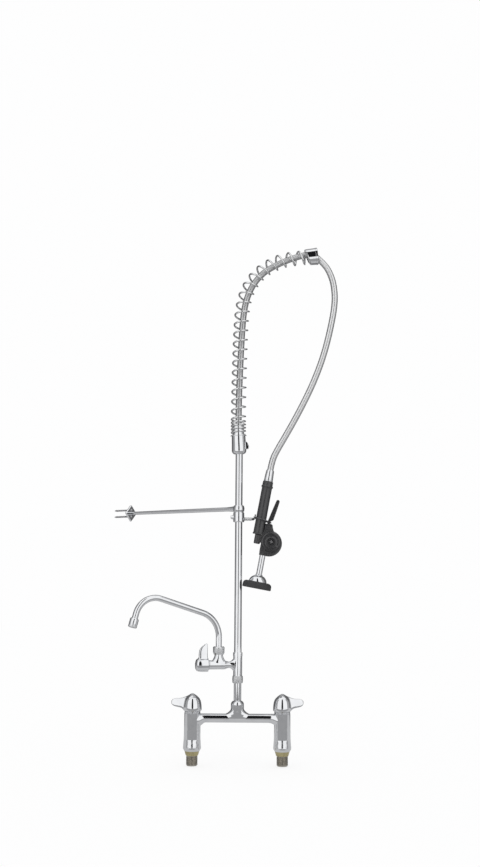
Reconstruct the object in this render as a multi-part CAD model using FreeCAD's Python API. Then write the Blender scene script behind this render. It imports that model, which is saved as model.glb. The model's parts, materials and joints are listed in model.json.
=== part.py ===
import FreeCAD, Part
import math
import os

from FreeCAD import Placement, Rotation, Vector

# Commercial pre-rinse faucet: a deck mixing base with an add-on swing nozzle, a riser with a wall
# bracket and a finger hook, an overhead spring over a flexible hose, and a squeeze spray valve.
# Millimetres, +Z up. The origin is on the deck, midway between the two inlet shanks, and +X runs
# from the hot leg to the cold leg. The user stands on the -Y side.

# Shared clearances
over = 1.0               # overrun of every cut
thread_gap = 0.1         # radial gap between a thread and its socket
running_gap = 0.06       # radial gap of a turning or sliding fit
part_gap = 0.3           # gap between faces that move past each other

# Mixing base
leg_spacing = 203.2
leg_height = 83.0
leg_radius = 18.4
leg_ankle_radius = 18.9
leg_ankle_height = 25.5
leg_foot_radius = 20.2
leg_seat_radius = 17.3
leg_foot_chamfer = 5.0
leg_foot_land = 3.0
leg_taper_top = 46.0
leg_waterway_radius = 6.9
crossbar_drop = 11.0      # of the crossbar under the legs' tops
crossbar_height = leg_height - crossbar_drop
crossbar_radius = 10.2
crossbar_bore = 4.0
crossbar_flare = 5.0
crossbar_flare_length = 13.0
hub_radius = 14.8
hub_rise = 39.0           # of the hub's top over the crossbar
hub_height = crossbar_height + hub_rise
hub_shoulder = 10.0
hub_fillet = 12.5
hub_socket_depth = 14.0
hub_lip = 0.4

# Inlet shanks and their brass locating rings
shank_radius = 13.0
shank_bore = 8.5
shank_length = 32.0
shank_engagement = 9.0
shank_edge = 1.5
shank_neck_radius = 12.7
shank_neck_drop = 0.5
ring_top_radius = 16.6
ring_low_radius = 14.2
ring_height = 10.0

# Quarter-turn cartridge, the same in all three valves
cartridge_radius = 7.2
cartridge_wall = 1.4
cartridge_depth = 30.0
cartridge_floor = 2.0
cartridge_port = 2.6
cartridge_window = 3.0
cartridge_window_depth = 17.0
disc_thickness = 2.6
disc_gap = 0.1
disc_port = 1.5
stem_radius = 3.6
stem_foot = 3.0
bonnet_skirt_radius = 8.2
bonnet_skirt_depth = 9.0
deck_bonnet_radius = 18.2
deck_bonnet_height = 4.2
addon_bonnet_radius = 10.8
addon_bonnet_height = 3.6
bonnet_edge = 0.7

# Lever handles: one shape at the hot and cold valves, and a smaller one at the add-on's valve.
# A lever's side view is given in shares of its length and of its handle's height; a pair of
# points is an arc's middle and end.
deck_handle_radius = 20.3
deck_handle_height = 39.0
deck_handle_skirt = 5.0
deck_lever_length = 48.3
deck_lever_shares = ((0.0, 0.03), (0.39, 0.03), ((0.46, 0.13), (0.56, 0.185)), (0.828, 0.245),
                     ((1.0, 0.4775), (0.828, 0.71)), (0.5, 0.7), (0.36, 0.78), (0.2, 0.87), (0.0, 0.87))
addon_handle_radius = 15.4
addon_handle_height = 29.5
addon_handle_skirt = 20.0
addon_lever_length = 47.5
addon_lever_shares = ((0.0, 0.04), (0.93, 0.04), ((0.99, 0.09), (0.985, 0.19)), (0.92, 0.43),
                      (0.72, 0.69), (0.5, 0.72), (0.0, 0.74))
lever_half_thickness = 4.4
handle_wall = 2.6
handle_recess_depth = 5.6
handle_gap = 0.5
handle_socket_depth = 16.0
handle_screw_radius = 2.0
handle_screw_height = 9.5

# Lower pipe and the union under the add-on faucet
pipe_radius = 8.55
pipe_bore = 6.25
union_bottom = 148.9
union_top = 166.0
union_radius = 12.3
union_end_radius = 11.1
union_shoulder = 4.8
union_flange = 3.2
union_flange_radius = 9.6
union_washer = 1.2

# Add-on faucet
addon_axis_height = 190.0
addon_azimuth = 190.0
tee_radius = 10.2
tee_tail_radius = 9.8
tee_top = 217.6
tee_collar = 8.6
tee_collar_radius = 10.6
tee_bore = 6.0
tee_socket_depth = 14.0
tee_flare_rise = 21.5       # half the height of the trumpet where the arm leaves the tee
arm_neck_radius = 7.0
arm_neck_place = 20.5
barrel_radius = 10.3
barrel_start = 30.5
barrel_end = 64.0
arm_bore = 3.6
nozzle_offset = 44.0
boss_radius = 9.6
boss_height = 212.6
boss_spread = 19.0
spigot_radius = 9.0
spigot_top = 219.0

# Swing nozzle
nozzle_radius = 6.9
nozzle_bore = 5.6
nozzle_bottom = 203.0
nozzle_bend_height = 293.8
nozzle_azimuth = 205.0
nozzle_peak_reach = 187.3
nozzle_peak_height = 351.9
nozzle_drop = 68.0
nozzle_end_angle = 15.5
nozzle_lower_bend = 58.0
nozzle_upper_bend = 46.0
nozzle_collar_radius = 8.7
nozzle_collar_height = 3.0
packing_height = 2.0
nozzle_nut_radius = 13.3
nozzle_nut_bottom = 212.9
nozzle_nut_top = 231.0
nozzle_nut_taper = 4.5
nozzle_nut_lip = 4.0
aerator_radius = 9.9
aerator_length = 20.6
aerator_wall = 1.4
aerator_socket = 9.0
aerator_insert_height = 7.0
aerator_hole = 0.9
aerator_hole_count = 12

# Riser and what is clamped on it
riser_top = 686.0
bracket_height = 545.0
bracket_azimuth = 146.5
bracket_ring_height = 15.0
bracket_ring_radius = 13.4
bracket_ring_end_radius = 11.9
bracket_reach = 326.5
bracket_arm_radius = 4.0
bracket_arm_root_radius = 5.2
bracket_flare_radius = 7.0
bracket_flare_length = 30.0
flange_half_diagonal = 20.8
flange_corner = 3.0
flange_thickness = 4.0
flange_socket_depth = 2.5
wall_screw_offset = 7.9
wall_screw_radius = 2.3
wall_screw_head_radius = 3.3
wall_screw_head_height = 2.4
wall_screw_length = 52.0
set_screw_radius = 2.4
set_screw_socket = 1.1
set_screw_socket_depth = 2.0

hook_clamp_height = 23.6
hook_clamp_radius = 12.9
hook_boss_radius = 6.6
hook_boss_tip = 3.0
hook_boss_reach = 19.0
hook_rod_radius = 3.7
hook_rod_drop = 15.9
hook_seat_wall = 1.2
hook_rod_end = 31.0
hook_cover_radius = 3.0
hook_cover_length = 4.6
hook_tip_radius = 1.4
hook_pin_radius = 0.8
hook_bend = 3.0
hook_finger = 11.5

# Spring collar, leaned over by the load of the spring
collar_lean = 2.5
collar_bottom = 672.7
collar_bottom_radius = 10.4
collar_shoulder = 680.0
collar_radius = 17.3
collar_top_radius = 16.3
collar_top = 715.5
rim_radius = 18.9
rim_height = 2.5
collar_web = 4.5
lug_reach = 23.2
lug_half_width = 5.0
lug_bottom = 684.0
lug_top = 706.0
lug_slope = 7.0
sleeve_radius = 13.3
sleeve_top = 744.5

# Overhead spring. Its route is in its own plane, from its seat on the collar's rim.
spring_wire_radius = 2.3
spring_coil_radius = 16.1
spring_turn_counts = (4.5, 0.5, 10, 10, 1, 0.75)
spring_pitches = (7.8, 16.0, 23.3, 24.4, 14.0, 8.0)
spring_route = ((-3.2, 765.0), (0.6, 960.0), (5.5, 1036.0), (22.4, 1085.3), (51.9, 1121.0),
                (95.0, 1145.2), (131.6, 1152.2), (186.0, 1158.2))
quarter_count = 4        # points in each turn of the spring

# Hose. The held run goes from the collar through the spring into the arch's end cup, and the
# free run goes on from there to the spray valve.
hose_radius = 7.5
hose_bore = 4.8
hose_lean_top = 758.0
hose_held_route = ((3.4, 955.0), (9.5, 1032.0), (25.6, 1079.6), (54.0, 1116.0), (93.0, 1139.0),
                   (136.0, 1156.5), (173.8, 1164.5))
hose_held_bends = (330.0, 900.0, 190.0, 110.0, 95.0, 110.0, 110.0, 32.0)
hose_exit = (187.0, 1152.6)
hose_free_route = ((215.8, 1117.4), (225.5, 1086.9), (228.3, 1041.0), (214.5, 968.0),
                   (197.0, 903.0), (173.5, 842.0), (145.0, 783.0), (114.5, 727.0), (89.0, 683.5))
hose_first_run = 21.0
hose_last_run = 24.0

# Cup at the arch's end
cup_start = 30.0
cup_radius = 19.6
cup_end_radius = 21.0
cup_wall = 1.2
cup_lip = 3.2
cup_slant = 30.0

# Spray valve, in its own frame: +Z up along the grip from the grip's top, +X towards the lever
valve_lean = 10.4
valve_reach = 45.5629   # of the grip's lower end
valve_drop = 35.4399    # of the grip's lower end under the hook's rod
ferrule_length = 27.2
ferrule_top_radius = 9.3
ferrule_radius = 10.9
ferrule_socket_depth = 8.0
grip_length = 125.4
grip_top_radius = 12.2
grip_radius = 11.9
grip_low_radius = 12.5
grip_ridge_radius = 14.0
grip_ridge_place = 11.5
grip_ridge_height = 2.4
grip_collar_radius = 13.5
grip_collar_height = 3.5
grip_tube_radius = 6.5
grip_tube_bore = 4.5
inlet_boss_radius = 7.4
inlet_boss_length = 21.6
disc_radius = 30.0
disc_x = 28.3
disc_drop = 16.0         # from the grip's lower end, as the other drops and rises below
disc_z = grip_length + disc_drop
disc_front = 9.0
disc_back = 11.0
disc_flat_x = 9.6          # the disc is cut off straight towards the grip
outlet_x = 18.7
outlet_socket_radius = 8.6
outlet_socket_drop = 46.0
outlet_socket_end = grip_length + outlet_socket_drop
outlet_tube_radius = 6.9
outlet_tube_bore = 5.2
outlet_tube_length = 72.0
outlet_tube_drop = 98.6
outlet_tube_end = grip_length + outlet_tube_drop
outlet_tube_top = outlet_tube_end - outlet_tube_length
neck_half_width = 8.5
neck_back_x = 12.5
neck_rise = 29.0
neck_top = grip_length - neck_rise
pin_x = 25.2
pin_rise = 24.4
pin_z = grip_length - pin_rise
pin_radius = 1.9
lever_half_width = 5.5
lever_root_half_width = 3.9
lever_root_x = 18.7
lever_root_rise = 8.0
lever_root_z = pin_z - lever_root_rise
lever_root_thickness = 6.6
lever_heel_x = 28.6
lever_heel_rise = 6.4
lever_notch_rise = 1.6
lever_hub_radius = 4.4
lever_tip_x = 31.0
lever_tip_rise = 58.7
lever_tip_z = pin_z - lever_tip_rise
lever_tip_radius = 4.2
toe_radius = 2.2
toe_drop = 2.0
plunger_radius = 2.1
plunger_head_radius = 4.2
plunger_head_height = 2.4
plunger_drop = 10.6
plunger_end = grip_length + plunger_drop
plunger_stroke = 1.6
chamber_radius = 5.2
chamber_rise = 4.4
chamber_top = grip_length - chamber_rise
chamber_drop = 20.6
chamber_floor = grip_length + chamber_drop
return_spring_radius = 4.6
return_spring_bore = 3.0
cover_x = 32.0
cover_drop = 11.8
cover_z = grip_length + cover_drop
cover_radius = 23.4
cover_height = 4.2
cover_recess_radius = 8.6
cover_recess_depth = 2.4
cover_ring_radius = 11.0
cover_ring_height = 1.6
cover_screw_radius = 3.4
cover_screw_height = 1.8
cover_screw_shank = 1.8
cup_neck_radius = 8.6
spray_cup_radius = 20.8
spray_cup_rise = 8.4     # over the outlet tube's end, as the next drops are under it
spray_cup_top = outlet_tube_end - spray_cup_rise
spray_cup_drop = 7.0
spray_cup_low = outlet_tube_end + spray_cup_drop
spray_cup_wall = 1.6
bumper_radius = 33.4
bumper_drop = 8.4
bumper_top = outlet_tube_end + bumper_drop
bumper_height = 16.2
bumper_low = bumper_top + bumper_height
bumper_crown = 26.2
bumper_opening = 21.4
plate_height = 2.4
plate_recess = 2.2
jet_radius = 1.0
jet_counts = (6, 12, 18)
jet_circle_radii = (6.0, 12.0, 17.5)

# Hold-open ring round the grip and the lever's root, hung on the finger hook
ring_wire_radius = 1.4
ring_radius = 21.0
ring_tilt = 18.5
ring_centre_x = 55.2


def up(x, z):
    # a point in the XZ plane
    return Vector(x, 0, z)


def outline(profile):
    # a closed wire in the XZ plane; a pair of points in the list is an arc's middle and end
    points = [up(*p) if not isinstance(p[0], tuple) else (up(*p[0]), up(*p[1])) for p in profile]
    edges = []
    last = points[0]
    for p in points[1:] + [points[0]]:
        if isinstance(p, tuple):
            edges.append(Part.Arc(last, p[0], p[1]).toShape())
            last = p[1]
        elif last.distanceToPoint(p) > 0:
            edges.append(Part.LineSegment(last, p).toShape())
            last = p
    return Part.Wire(edges)


def turned(profile):
    # a solid of revolution about Z from a half profile of (radius, height)
    return Part.Face(outline(profile)).revolve(Vector(0, 0, 0), Vector(0, 0, 1), 360)


def slab(profile, front, back):
    # an outline in the XZ plane, made thick from y = front to y = back
    face = Part.Face(outline(profile))
    face.translate(Vector(0, front, 0))
    return face.extrude(Vector(0, back - front, 0))


def rod(radius, low, high, x=0.0, y=0.0):
    return Part.makeCylinder(radius, high - low, Vector(x, y, low), Vector(0, 0, 1))


def tube(outer, inner, low, high, x=0.0, y=0.0):
    return rod(outer, low, high, x, y).cut(rod(inner, low - over, high + over, x, y))


def rod_x(radius, start, end, z=0.0, y=0.0):
    return Part.makeCylinder(radius, end - start, Vector(start, y, z), Vector(1, 0, 0))


def rod_y(radius, front, back, x, z):
    return Part.makeCylinder(radius, back - front, Vector(x, front, z), Vector(0, 1, 0))


def carved(solid, cutters):
    for cutter in cutters:
        solid = solid.cut(cutter)
    return solid.removeSplitter()


def moved(shape, placement):
    # the shape carried to its place, with the place baked in
    result = shape.copy()
    result.transformShape(placement.toMatrix(), True)
    return result


def spun(shape, degrees, centre=Vector(0, 0, 0), axis=Vector(0, 0, 1)):
    return moved(shape, Placement(Vector(0, 0, 0), Rotation(axis, degrees), centre))


def lifted(shape, x, y, z):
    return moved(shape, Placement(Vector(x, y, z), Rotation()))


def bent(points, radii):
    # straight runs joined by tangent arcs, and how long the line is
    edges = []
    length = 0.0
    last = points[0]
    for before, corner, after, radius in zip(points, points[1:], points[2:], radii):
        inward = (before - corner).normalize()
        outward = (after - corner).normalize()
        half_turn = (math.pi - inward.getAngle(outward)) / 2
        tangent = radius * math.tan(half_turn)
        start = corner + inward * tangent
        end = corner + outward * tangent
        middle = (inward + outward).normalize()
        apex = corner + middle * (radius / math.cos(half_turn) - radius)
        edges.append(Part.LineSegment(last, start).toShape())
        edges.append(Part.Arc(start, apex, end).toShape())
        length += last.distanceToPoint(start) + radius * half_turn * 2
        last = end
    edges.append(Part.LineSegment(last, points[-1]).toShape())
    length += last.distanceToPoint(points[-1])
    return edges, length


def cord_radii(points):
    # each arc is as large as its two runs allow
    radii = []
    for before, corner, after in zip(points, points[1:], points[2:]):
        half_turn = (math.pi - (before - corner).getAngle(after - corner)) / 2
        run = min(before.distanceToPoint(corner), corner.distanceToPoint(after))
        radii.append(0.45 * run / math.tan(half_turn))
    return radii


def swept(edges, start, direction, radius):
    # a round bar along a line of edges
    section = Part.Wire(Part.Circle(start, direction, radius).toShape())
    return Part.Wire(edges).makePipeShell([section], True, False)


def piped(points, radii, outer, inner):
    edges = bent(points, radii)[0]
    direction = points[1] - points[0]
    solid = swept(edges, points[0], direction, outer)
    return solid.cut(swept(edges, points[0], direction, inner))


def at_leg(side, shape):
    return lifted(shape, side * leg_spacing / 2, 0, 0)


def on_hot_leg(shape):
    # from a valve's own frame, with the lever outwards
    return at_leg(-1, lifted(spun(shape, 180), 0, 0, leg_height))


def on_cold_leg(shape):
    return at_leg(1, lifted(shape, 0, 0, leg_height))


def on_addon(shape):
    # from a frame with +X along the add-on faucet's arm
    return spun(shape, addon_azimuth)


def on_addon_seat(shape):
    # from a valve's own frame to the end of the add-on faucet's barrel, with the lever up
    turn = Rotation(Vector(0, 0, 1), Vector(0, 1, 0), Vector(1, 0, 0), "ZXY")
    seated = moved(shape, Placement(Vector(barrel_end, 0, addon_axis_height), turn))
    return on_addon(seated)


def on_nozzle(shape):
    # from a frame with Z along the nozzle's seat and +X along its reach
    base = spun(Part.Vertex(up(nozzle_offset, 0)), addon_azimuth).Point
    return lifted(spun(shape, nozzle_azimuth), base.x, base.y, 0)


def on_bracket(shape):
    return lifted(spun(shape, bracket_azimuth), 0, 0, bracket_height)


def leaned(shape):
    # the collar and what stands in it lean together about the riser's top
    return spun(shape, -collar_lean, Vector(0, 0, collar_bottom), Vector(0, 1, 0))


def valve_top():
    lean = math.radians(valve_lean)
    return up(valve_reach + grip_length * math.sin(lean),
              hook_rod_height() - valve_drop + grip_length * math.cos(lean))


def on_valve(shape):
    turn = Rotation(Vector(0, 1, 0), valve_lean)
    return moved(shape, Placement(valve_top(), turn))


# Mixing base

def leg():
    chamfer_end = leg_foot_chamfer + leg_foot_land
    return turned([(0, 0), (leg_seat_radius, 0), (leg_foot_radius, leg_foot_chamfer),
                   (leg_foot_radius, chamfer_end), (leg_ankle_radius, leg_ankle_height),
                   (leg_radius, leg_taper_top), (leg_radius, leg_height - bonnet_edge),
                   (leg_radius - bonnet_edge, leg_height), (0, leg_height)])


def crossbar():
    # each end flares downwards into its leg, with its top line nearly level
    half = leg_spacing / 2
    bar = rod_x(crossbar_radius, -half, half, crossbar_height)
    start = half - leg_radius - crossbar_flare_length
    end = half - leg_radius / 2
    level = leg_height - bonnet_edge / 2
    sections = []
    for place_share, spread_share in ((0.0, 0.0), (0.35, 0.16), (0.6, 0.5), (0.8, 0.85), (1.0, 1.0)):
        radius = (crossbar_radius + crossbar_flare * spread_share) * 0.999
        top = crossbar_height + crossbar_radius + (level - crossbar_height - crossbar_radius) * spread_share
        centre = up(start + (end - start) * place_share, top - radius)
        sections.append(Part.Wire(Part.Circle(centre, Vector(1, 0, 0), radius).toShape()))
    flare = Part.makeLoft(sections, True, False)
    return bar.fuse([flare, spun(flare, 180)])


def hub():
    # the crossbar spreads up into the hub in a concave sweep
    sweep_top = crossbar_height + crossbar_radius + hub_fillet
    stations = [(-0.36, 0.6, 0.38), (-0.18, 1.35, 0.68), (0.0, 1.7, 0.82), (0.2, 1.5, 0.84),
                (0.37, 1.16, 0.86), (0.5, 0.72, 0.88), (0.64, 0.34, 0.92), (0.8, 0.08, 0.97),
                (1.0, 0.0, 1.0)]
    sections = []
    for rise_share, spread_share, depth_share in stations:
        z = crossbar_height + (sweep_top - crossbar_height) * rise_share
        width = hub_radius + hub_fillet * spread_share
        sections.append(Part.Wire(Part.Ellipse(up(0, z), width, hub_radius * depth_share * 0.999)
                                  .toShape()))
    spread = Part.makeLoft(sections, True, False)
    shoulder_start = hub_height - hub_shoulder
    neck = pipe_radius + hub_lip
    top = turned([(0, crossbar_height), (hub_radius * 0.7, crossbar_height),
                  (hub_radius * 0.7, sweep_top - over), (hub_radius, sweep_top - over),
                  (hub_radius, shoulder_start),
                  ((hub_radius - (hub_radius - neck) * 0.3, hub_height - hub_shoulder * 0.35),
                   (neck, hub_height)), (0, hub_height)])
    return spread.fuse(top)


def mixing_body():
    solid = crossbar().fuse([at_leg(-1, leg()), at_leg(1, leg()), hub()])
    half = leg_spacing / 2
    cuts = [rod_x(crossbar_bore, -half, half, crossbar_height),
            rod(tee_bore, crossbar_height, hub_height + over),
            rod(pipe_radius + thread_gap, hub_height - hub_socket_depth, hub_height + over)]
    for side in (-1, 1):
        cuts += [at_leg(side, rod(leg_waterway_radius, -over, leg_height)),
                 at_leg(side, rod(cartridge_radius + thread_gap, leg_height - cartridge_depth,
                                  leg_height + over)),
                 at_leg(side, rod(bonnet_skirt_radius + thread_gap,
                                  leg_height - bonnet_skirt_depth, leg_height + over)),
                 at_leg(side, rod(shank_neck_radius + thread_gap, -over, shank_engagement))]
    return carved(solid, cuts)


def inlet_shank():
    neck_low = -ring_height - shank_neck_drop
    return turned([(shank_bore, -shank_length), (shank_radius - shank_edge, -shank_length),
                   (shank_radius, -shank_length + shank_edge), (shank_radius, neck_low),
                   (shank_neck_radius, neck_low), (shank_neck_radius, shank_engagement),
                   (shank_bore, shank_engagement)])


def locating_ring():
    inner = shank_neck_radius + thread_gap
    return turned([(inner, -ring_height), (ring_low_radius, -ring_height), (ring_top_radius, 0),
                   (inner, 0)])


# Cartridge valve, in its own frame with z = 0 on the body's face and +Z outwards

def cartridge_housing():
    inner = cartridge_radius - cartridge_wall
    low = -cartridge_depth
    solid = rod(cartridge_radius, low, -bonnet_skirt_depth)
    chamber = rod(inner, low + cartridge_floor, -bonnet_skirt_depth + over)
    port = rod(cartridge_port, low - over, low + cartridge_floor + over)
    window = rod_x(cartridge_window, -cartridge_radius - over, cartridge_radius + over,
                   -cartridge_window_depth)
    return carved(solid, [chamber, port, window])


def ceramic_disc(low, reach_share):
    inner = cartridge_radius - cartridge_wall - disc_gap
    solid = rod(inner, low, low + disc_thickness)
    ports = [rod(disc_port, low - over, low + disc_thickness + over, side * inner * reach_share)
             for side in (-1, 1)]
    return carved(solid, ports)


def fixed_disc():
    return ceramic_disc(cartridge_floor - cartridge_depth, 0.5)


def moving_disc():
    return spun(ceramic_disc(moving_disc_low(), 0.5), 90)


def moving_disc_low():
    return cartridge_floor - cartridge_depth + disc_thickness + disc_gap


def stem(handle_base):
    foot_low = moving_disc_low() + disc_thickness
    foot_radius = cartridge_radius - cartridge_wall - part_gap
    top = handle_base + handle_socket_depth - part_gap
    return rod(foot_radius, foot_low, foot_low + stem_foot).fuse(rod(stem_radius, foot_low, top))


def bonnet(radius, height):
    bore = stem_radius + running_gap
    return turned([(bore, -bonnet_skirt_depth), (bonnet_skirt_radius, -bonnet_skirt_depth),
                   (bonnet_skirt_radius, 0), (radius, 0), (radius, height - bonnet_edge),
                   (radius - bonnet_edge, height), (bore, height)])


def dome(radius, height, skirt):
    # a rounded dome over a straight skirt, with a blunt tip
    rise = height - skirt
    return turned([(0, 0), (radius, 0), (radius, skirt),
                   ((radius * 0.945, skirt + rise * 0.31), (radius * 0.82, skirt + rise * 0.62)),
                   ((radius * 0.57, skirt + rise * 0.835), (radius * 0.09, height)), (0, height)])


def lever(length, radius, height, side_shares):
    # what its side view and its top view share
    def place(point):
        if isinstance(point[0], tuple):
            return place(point[0]), place(point[1])
        return point[0] * length, point[1] * height

    side = slab([place(p) for p in side_shares], -radius, radius)
    nose = lever_half_thickness
    root = radius * 0.55
    plan = slab([(0, -radius * 0.62), (root, -radius * 0.55), (length * 0.58, -nose * 1.1),
                 (length - nose, -nose), ((length, 0), (length - nose, nose)),
                 (length * 0.58, nose * 1.1), (root, radius * 0.55), (0, radius * 0.62)], 0, height)
    return side.common(spun(plan, 90, Vector(0, 0, 0), Vector(1, 0, 0)))


def handle(radius, height, skirt, length, side_shares):
    solid = dome(radius, height, skirt).fuse(lever(length, radius, height, side_shares))
    inner = radius - handle_wall
    cavity = dome(inner, height - handle_wall * 2, handle_recess_depth)
    hub_low = handle_recess_depth - part_gap
    cavity = cavity.cut(rod(stem_radius * 2, hub_low, height))
    cavity = cavity.fuse(rod(inner, -over, min(handle_recess_depth, skirt) * 0.9))
    socket = rod(stem_radius + running_gap, -over, handle_socket_depth)
    screw_hole = rod_x(handle_screw_radius + thread_gap, -radius - over, 0, handle_screw_height)
    return carved(solid, [cavity, socket, spun(screw_hole, 90)])


def handle_screw(radius):
    # grips the stem through the back of the dome
    start = -radius * 0.86
    solid = rod_x(handle_screw_radius, start, -stem_radius - running_gap, handle_screw_height)
    socket = rod_x(handle_screw_radius / 2, start - over, start + handle_screw_radius,
                   handle_screw_height)
    return spun(solid.cut(socket), 90)


# Union and add-on faucet

def union_shoulder_height():
    return union_bottom + union_shoulder


def riser_nipple():
    flange_top = union_shoulder_height() + union_flange
    pipe = tube(pipe_radius, pipe_bore, hub_height - hub_socket_depth, flange_top)
    flange = tube(union_flange_radius, pipe_bore, union_shoulder_height(), flange_top)
    return pipe.fuse(flange).removeSplitter()


def tee_bottom():
    return union_shoulder_height() + union_flange + union_washer


def washer():
    return tube(union_flange_radius, pipe_bore, tee_bottom() - union_washer, tee_bottom())


def union_nut():
    shoulder = union_shoulder_height()
    middle = (union_bottom + union_top) / 2
    narrow = pipe_radius + thread_gap
    wide = tee_tail_radius + thread_gap
    return turned([(narrow, union_bottom), (union_end_radius, union_bottom),
                   ((union_radius, middle), (union_end_radius, union_top)), (wide, union_top),
                   (wide, shoulder), (narrow, shoulder)])


def addon_body():
    z = addon_axis_height
    tail_top = union_top + part_gap
    tee = rod(tee_tail_radius, tee_bottom(), tail_top).fuse(
        [rod(tee_radius, tail_top, tee_top), rod(tee_collar_radius, tee_top - tee_collar, tee_top)])
    arm = turned([(0, 0), (arm_neck_radius, 0), (arm_neck_radius, arm_neck_place),
                  ((arm_neck_radius * 1.2, (arm_neck_place + barrel_start) / 2),
                   (barrel_radius, barrel_start)),
                  (barrel_radius, barrel_end), (0, barrel_end)])
    arm = moved(arm, Placement(up(0, z), Rotation(Vector(0, 1, 0), 90)))
    stations = [(0.15, 1.0), (0.39, 0.76), (0.51, 0.45), (0.66, 0.22), (0.83, 0.07), (1.0, 0.0)]
    sections = []
    for place_share, spread_share in stations:
        half_height = arm_neck_radius + (tee_flare_rise - arm_neck_radius) * spread_share
        half_width = arm_neck_radius + (tee_radius * 0.86 - arm_neck_radius) * spread_share
        ring = Part.Ellipse(Vector(0, 0, 0), half_height * 0.999, half_width * 0.998).toShape()
        turn = Rotation(Vector(0, 0, 1), Vector(0, 1, 0), Vector(1, 0, 0), "ZXY")
        sections.append(Part.Wire(moved(ring, Placement(up(arm_neck_place * place_share, z), turn))))
    trumpet = Part.makeLoft(sections, True, False)
    rise = boss_height - z
    stations = [(0.0, 1.0), (0.36, 0.68), (0.62, 0.26), (0.8, 0.08), (1.0, 0.0)]
    sections = [Part.Wire(Part.Ellipse(up(nozzle_offset, z + rise * rise_share),
                                       boss_radius + (boss_spread - boss_radius) * spread_share,
                                       boss_radius * 0.999).toShape())
                for rise_share, spread_share in stations]
    boss = Part.makeLoft(sections, True, False)
    spigot = rod(spigot_radius, boss_height - over, spigot_top, nozzle_offset)
    solid = tee.fuse([arm, trumpet, boss, spigot])
    pocket_start = barrel_end - cartridge_depth
    cuts = [rod(tee_bore, tee_bottom() - over, tee_top + over),
            rod(pipe_radius + thread_gap, tee_top - tee_socket_depth, tee_top + over),
            rod_x(arm_bore, 0, pocket_start + over, z),
            rod_x(cartridge_radius + thread_gap, pocket_start, barrel_end + over, z),
            rod_x(bonnet_skirt_radius + thread_gap, barrel_end - bonnet_skirt_depth,
                  barrel_end + over, z),
            rod(nozzle_bore, z, spigot_top + over, nozzle_offset),
            rod(nozzle_radius + running_gap, nozzle_bottom - part_gap, spigot_top + over,
                nozzle_offset)]
    return on_addon(carved(solid, cuts))


def nozzle_nut():
    inner = spigot_radius + thread_gap
    lip_low = nozzle_nut_top - nozzle_nut_lip
    bore = nozzle_radius + running_gap
    edge = nozzle_nut_taper * 0.4
    nut = turned([(inner, nozzle_nut_bottom), (nozzle_nut_radius * 0.82, nozzle_nut_bottom),
                  (nozzle_nut_radius, nozzle_nut_bottom + nozzle_nut_taper),
                  (nozzle_nut_radius, nozzle_nut_top - edge),
                  (nozzle_nut_radius - edge, nozzle_nut_top), (bore, nozzle_nut_top),
                  (bore, lip_low), (inner, lip_low)])
    return on_addon(lifted(nut, nozzle_offset, 0, 0))


def packing_ring():
    return on_addon(tube(spigot_radius, nozzle_radius + running_gap, spigot_top,
                         spigot_top + packing_height, nozzle_offset))


def nozzle_route():
    # in the nozzle's plane: up, along the gentle rise, over and down
    fall = math.radians(nozzle_end_angle)
    peak = up(nozzle_peak_reach, nozzle_peak_height)
    return [up(0, nozzle_bottom), up(0, nozzle_bend_height), peak,
            peak + up(math.sin(fall), -math.cos(fall)) * nozzle_drop]


def swing_nozzle():
    pipe = piped(nozzle_route(), (nozzle_lower_bend, nozzle_upper_bend), nozzle_radius, nozzle_bore)
    low = spigot_top + packing_height + part_gap
    collar = tube(nozzle_collar_radius, nozzle_bore, low, low + nozzle_collar_height)
    return on_nozzle(pipe.fuse(collar).removeSplitter())


def at_nozzle_end(shape):
    # from a frame with +Z up the nozzle's last run and z = 0 at the tube's end
    end = nozzle_route()[-1]
    turn = Rotation(Vector(0, 1, 0), -nozzle_end_angle)
    return on_nozzle(moved(shape, Placement(end, turn)))


def aerator_low():
    return aerator_socket - aerator_length


def aerator_shell():
    low = aerator_low()
    inner = aerator_radius - aerator_wall
    edge = aerator_wall
    neck = nozzle_radius + thread_gap
    return at_nozzle_end(turned([(inner, low), (aerator_radius - edge, low), (aerator_radius, low + edge),
                                 (aerator_radius, aerator_socket - edge),
                                 (aerator_radius - edge, aerator_socket), (neck, aerator_socket),
                                 (neck, 0), (inner, 0)]))


def aerator_insert():
    radius = aerator_radius - aerator_wall - thread_gap
    high = -part_gap
    low = high - aerator_insert_height
    holes = [spun(rod(aerator_hole, low - over, high + over, radius * 0.6), 360 * n / aerator_hole_count)
             for n in range(aerator_hole_count)]
    return at_nozzle_end(carved(rod(radius, low, high), holes))


# Riser, wall bracket and finger hook

def riser_pipe():
    return tube(pipe_radius, pipe_bore, tee_top - tee_socket_depth, riser_top)


def set_screw(start, length):
    # along +X from start, with its socket at the far end
    end = start + length
    solid = rod_x(set_screw_radius, start, end)
    return solid.cut(rod_x(set_screw_socket, end - set_screw_socket_depth, end + over))


def wall_bracket():
    half = bracket_ring_height / 2
    ring = turned([(0, -half), (bracket_ring_end_radius, -half),
                   ((bracket_ring_radius, 0), (bracket_ring_end_radius, half)), (0, half)])
    start = bracket_ring_end_radius * 0.7
    flare_end = bracket_ring_radius + bracket_flare_length
    end = bracket_reach - flange_thickness + flange_socket_depth
    arm = turned([(0, start), (bracket_flare_radius, start),
                  (bracket_flare_radius, bracket_ring_end_radius),
                  ((bracket_arm_root_radius * 1.08, bracket_ring_radius + bracket_flare_length * 0.35),
                   (bracket_arm_root_radius, flare_end)), (bracket_arm_radius, end), (0, end)])
    arm = spun(arm, 90, Vector(0, 0, 0), Vector(0, 1, 0))
    bore = rod(pipe_radius + running_gap, -half - over, half + over)
    screw_hole = rod_x(set_screw_radius + thread_gap, 0, bracket_ring_radius + over)
    return on_bracket(carved(ring.fuse(arm), [bore, spun(screw_hole, -90)]))


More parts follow.
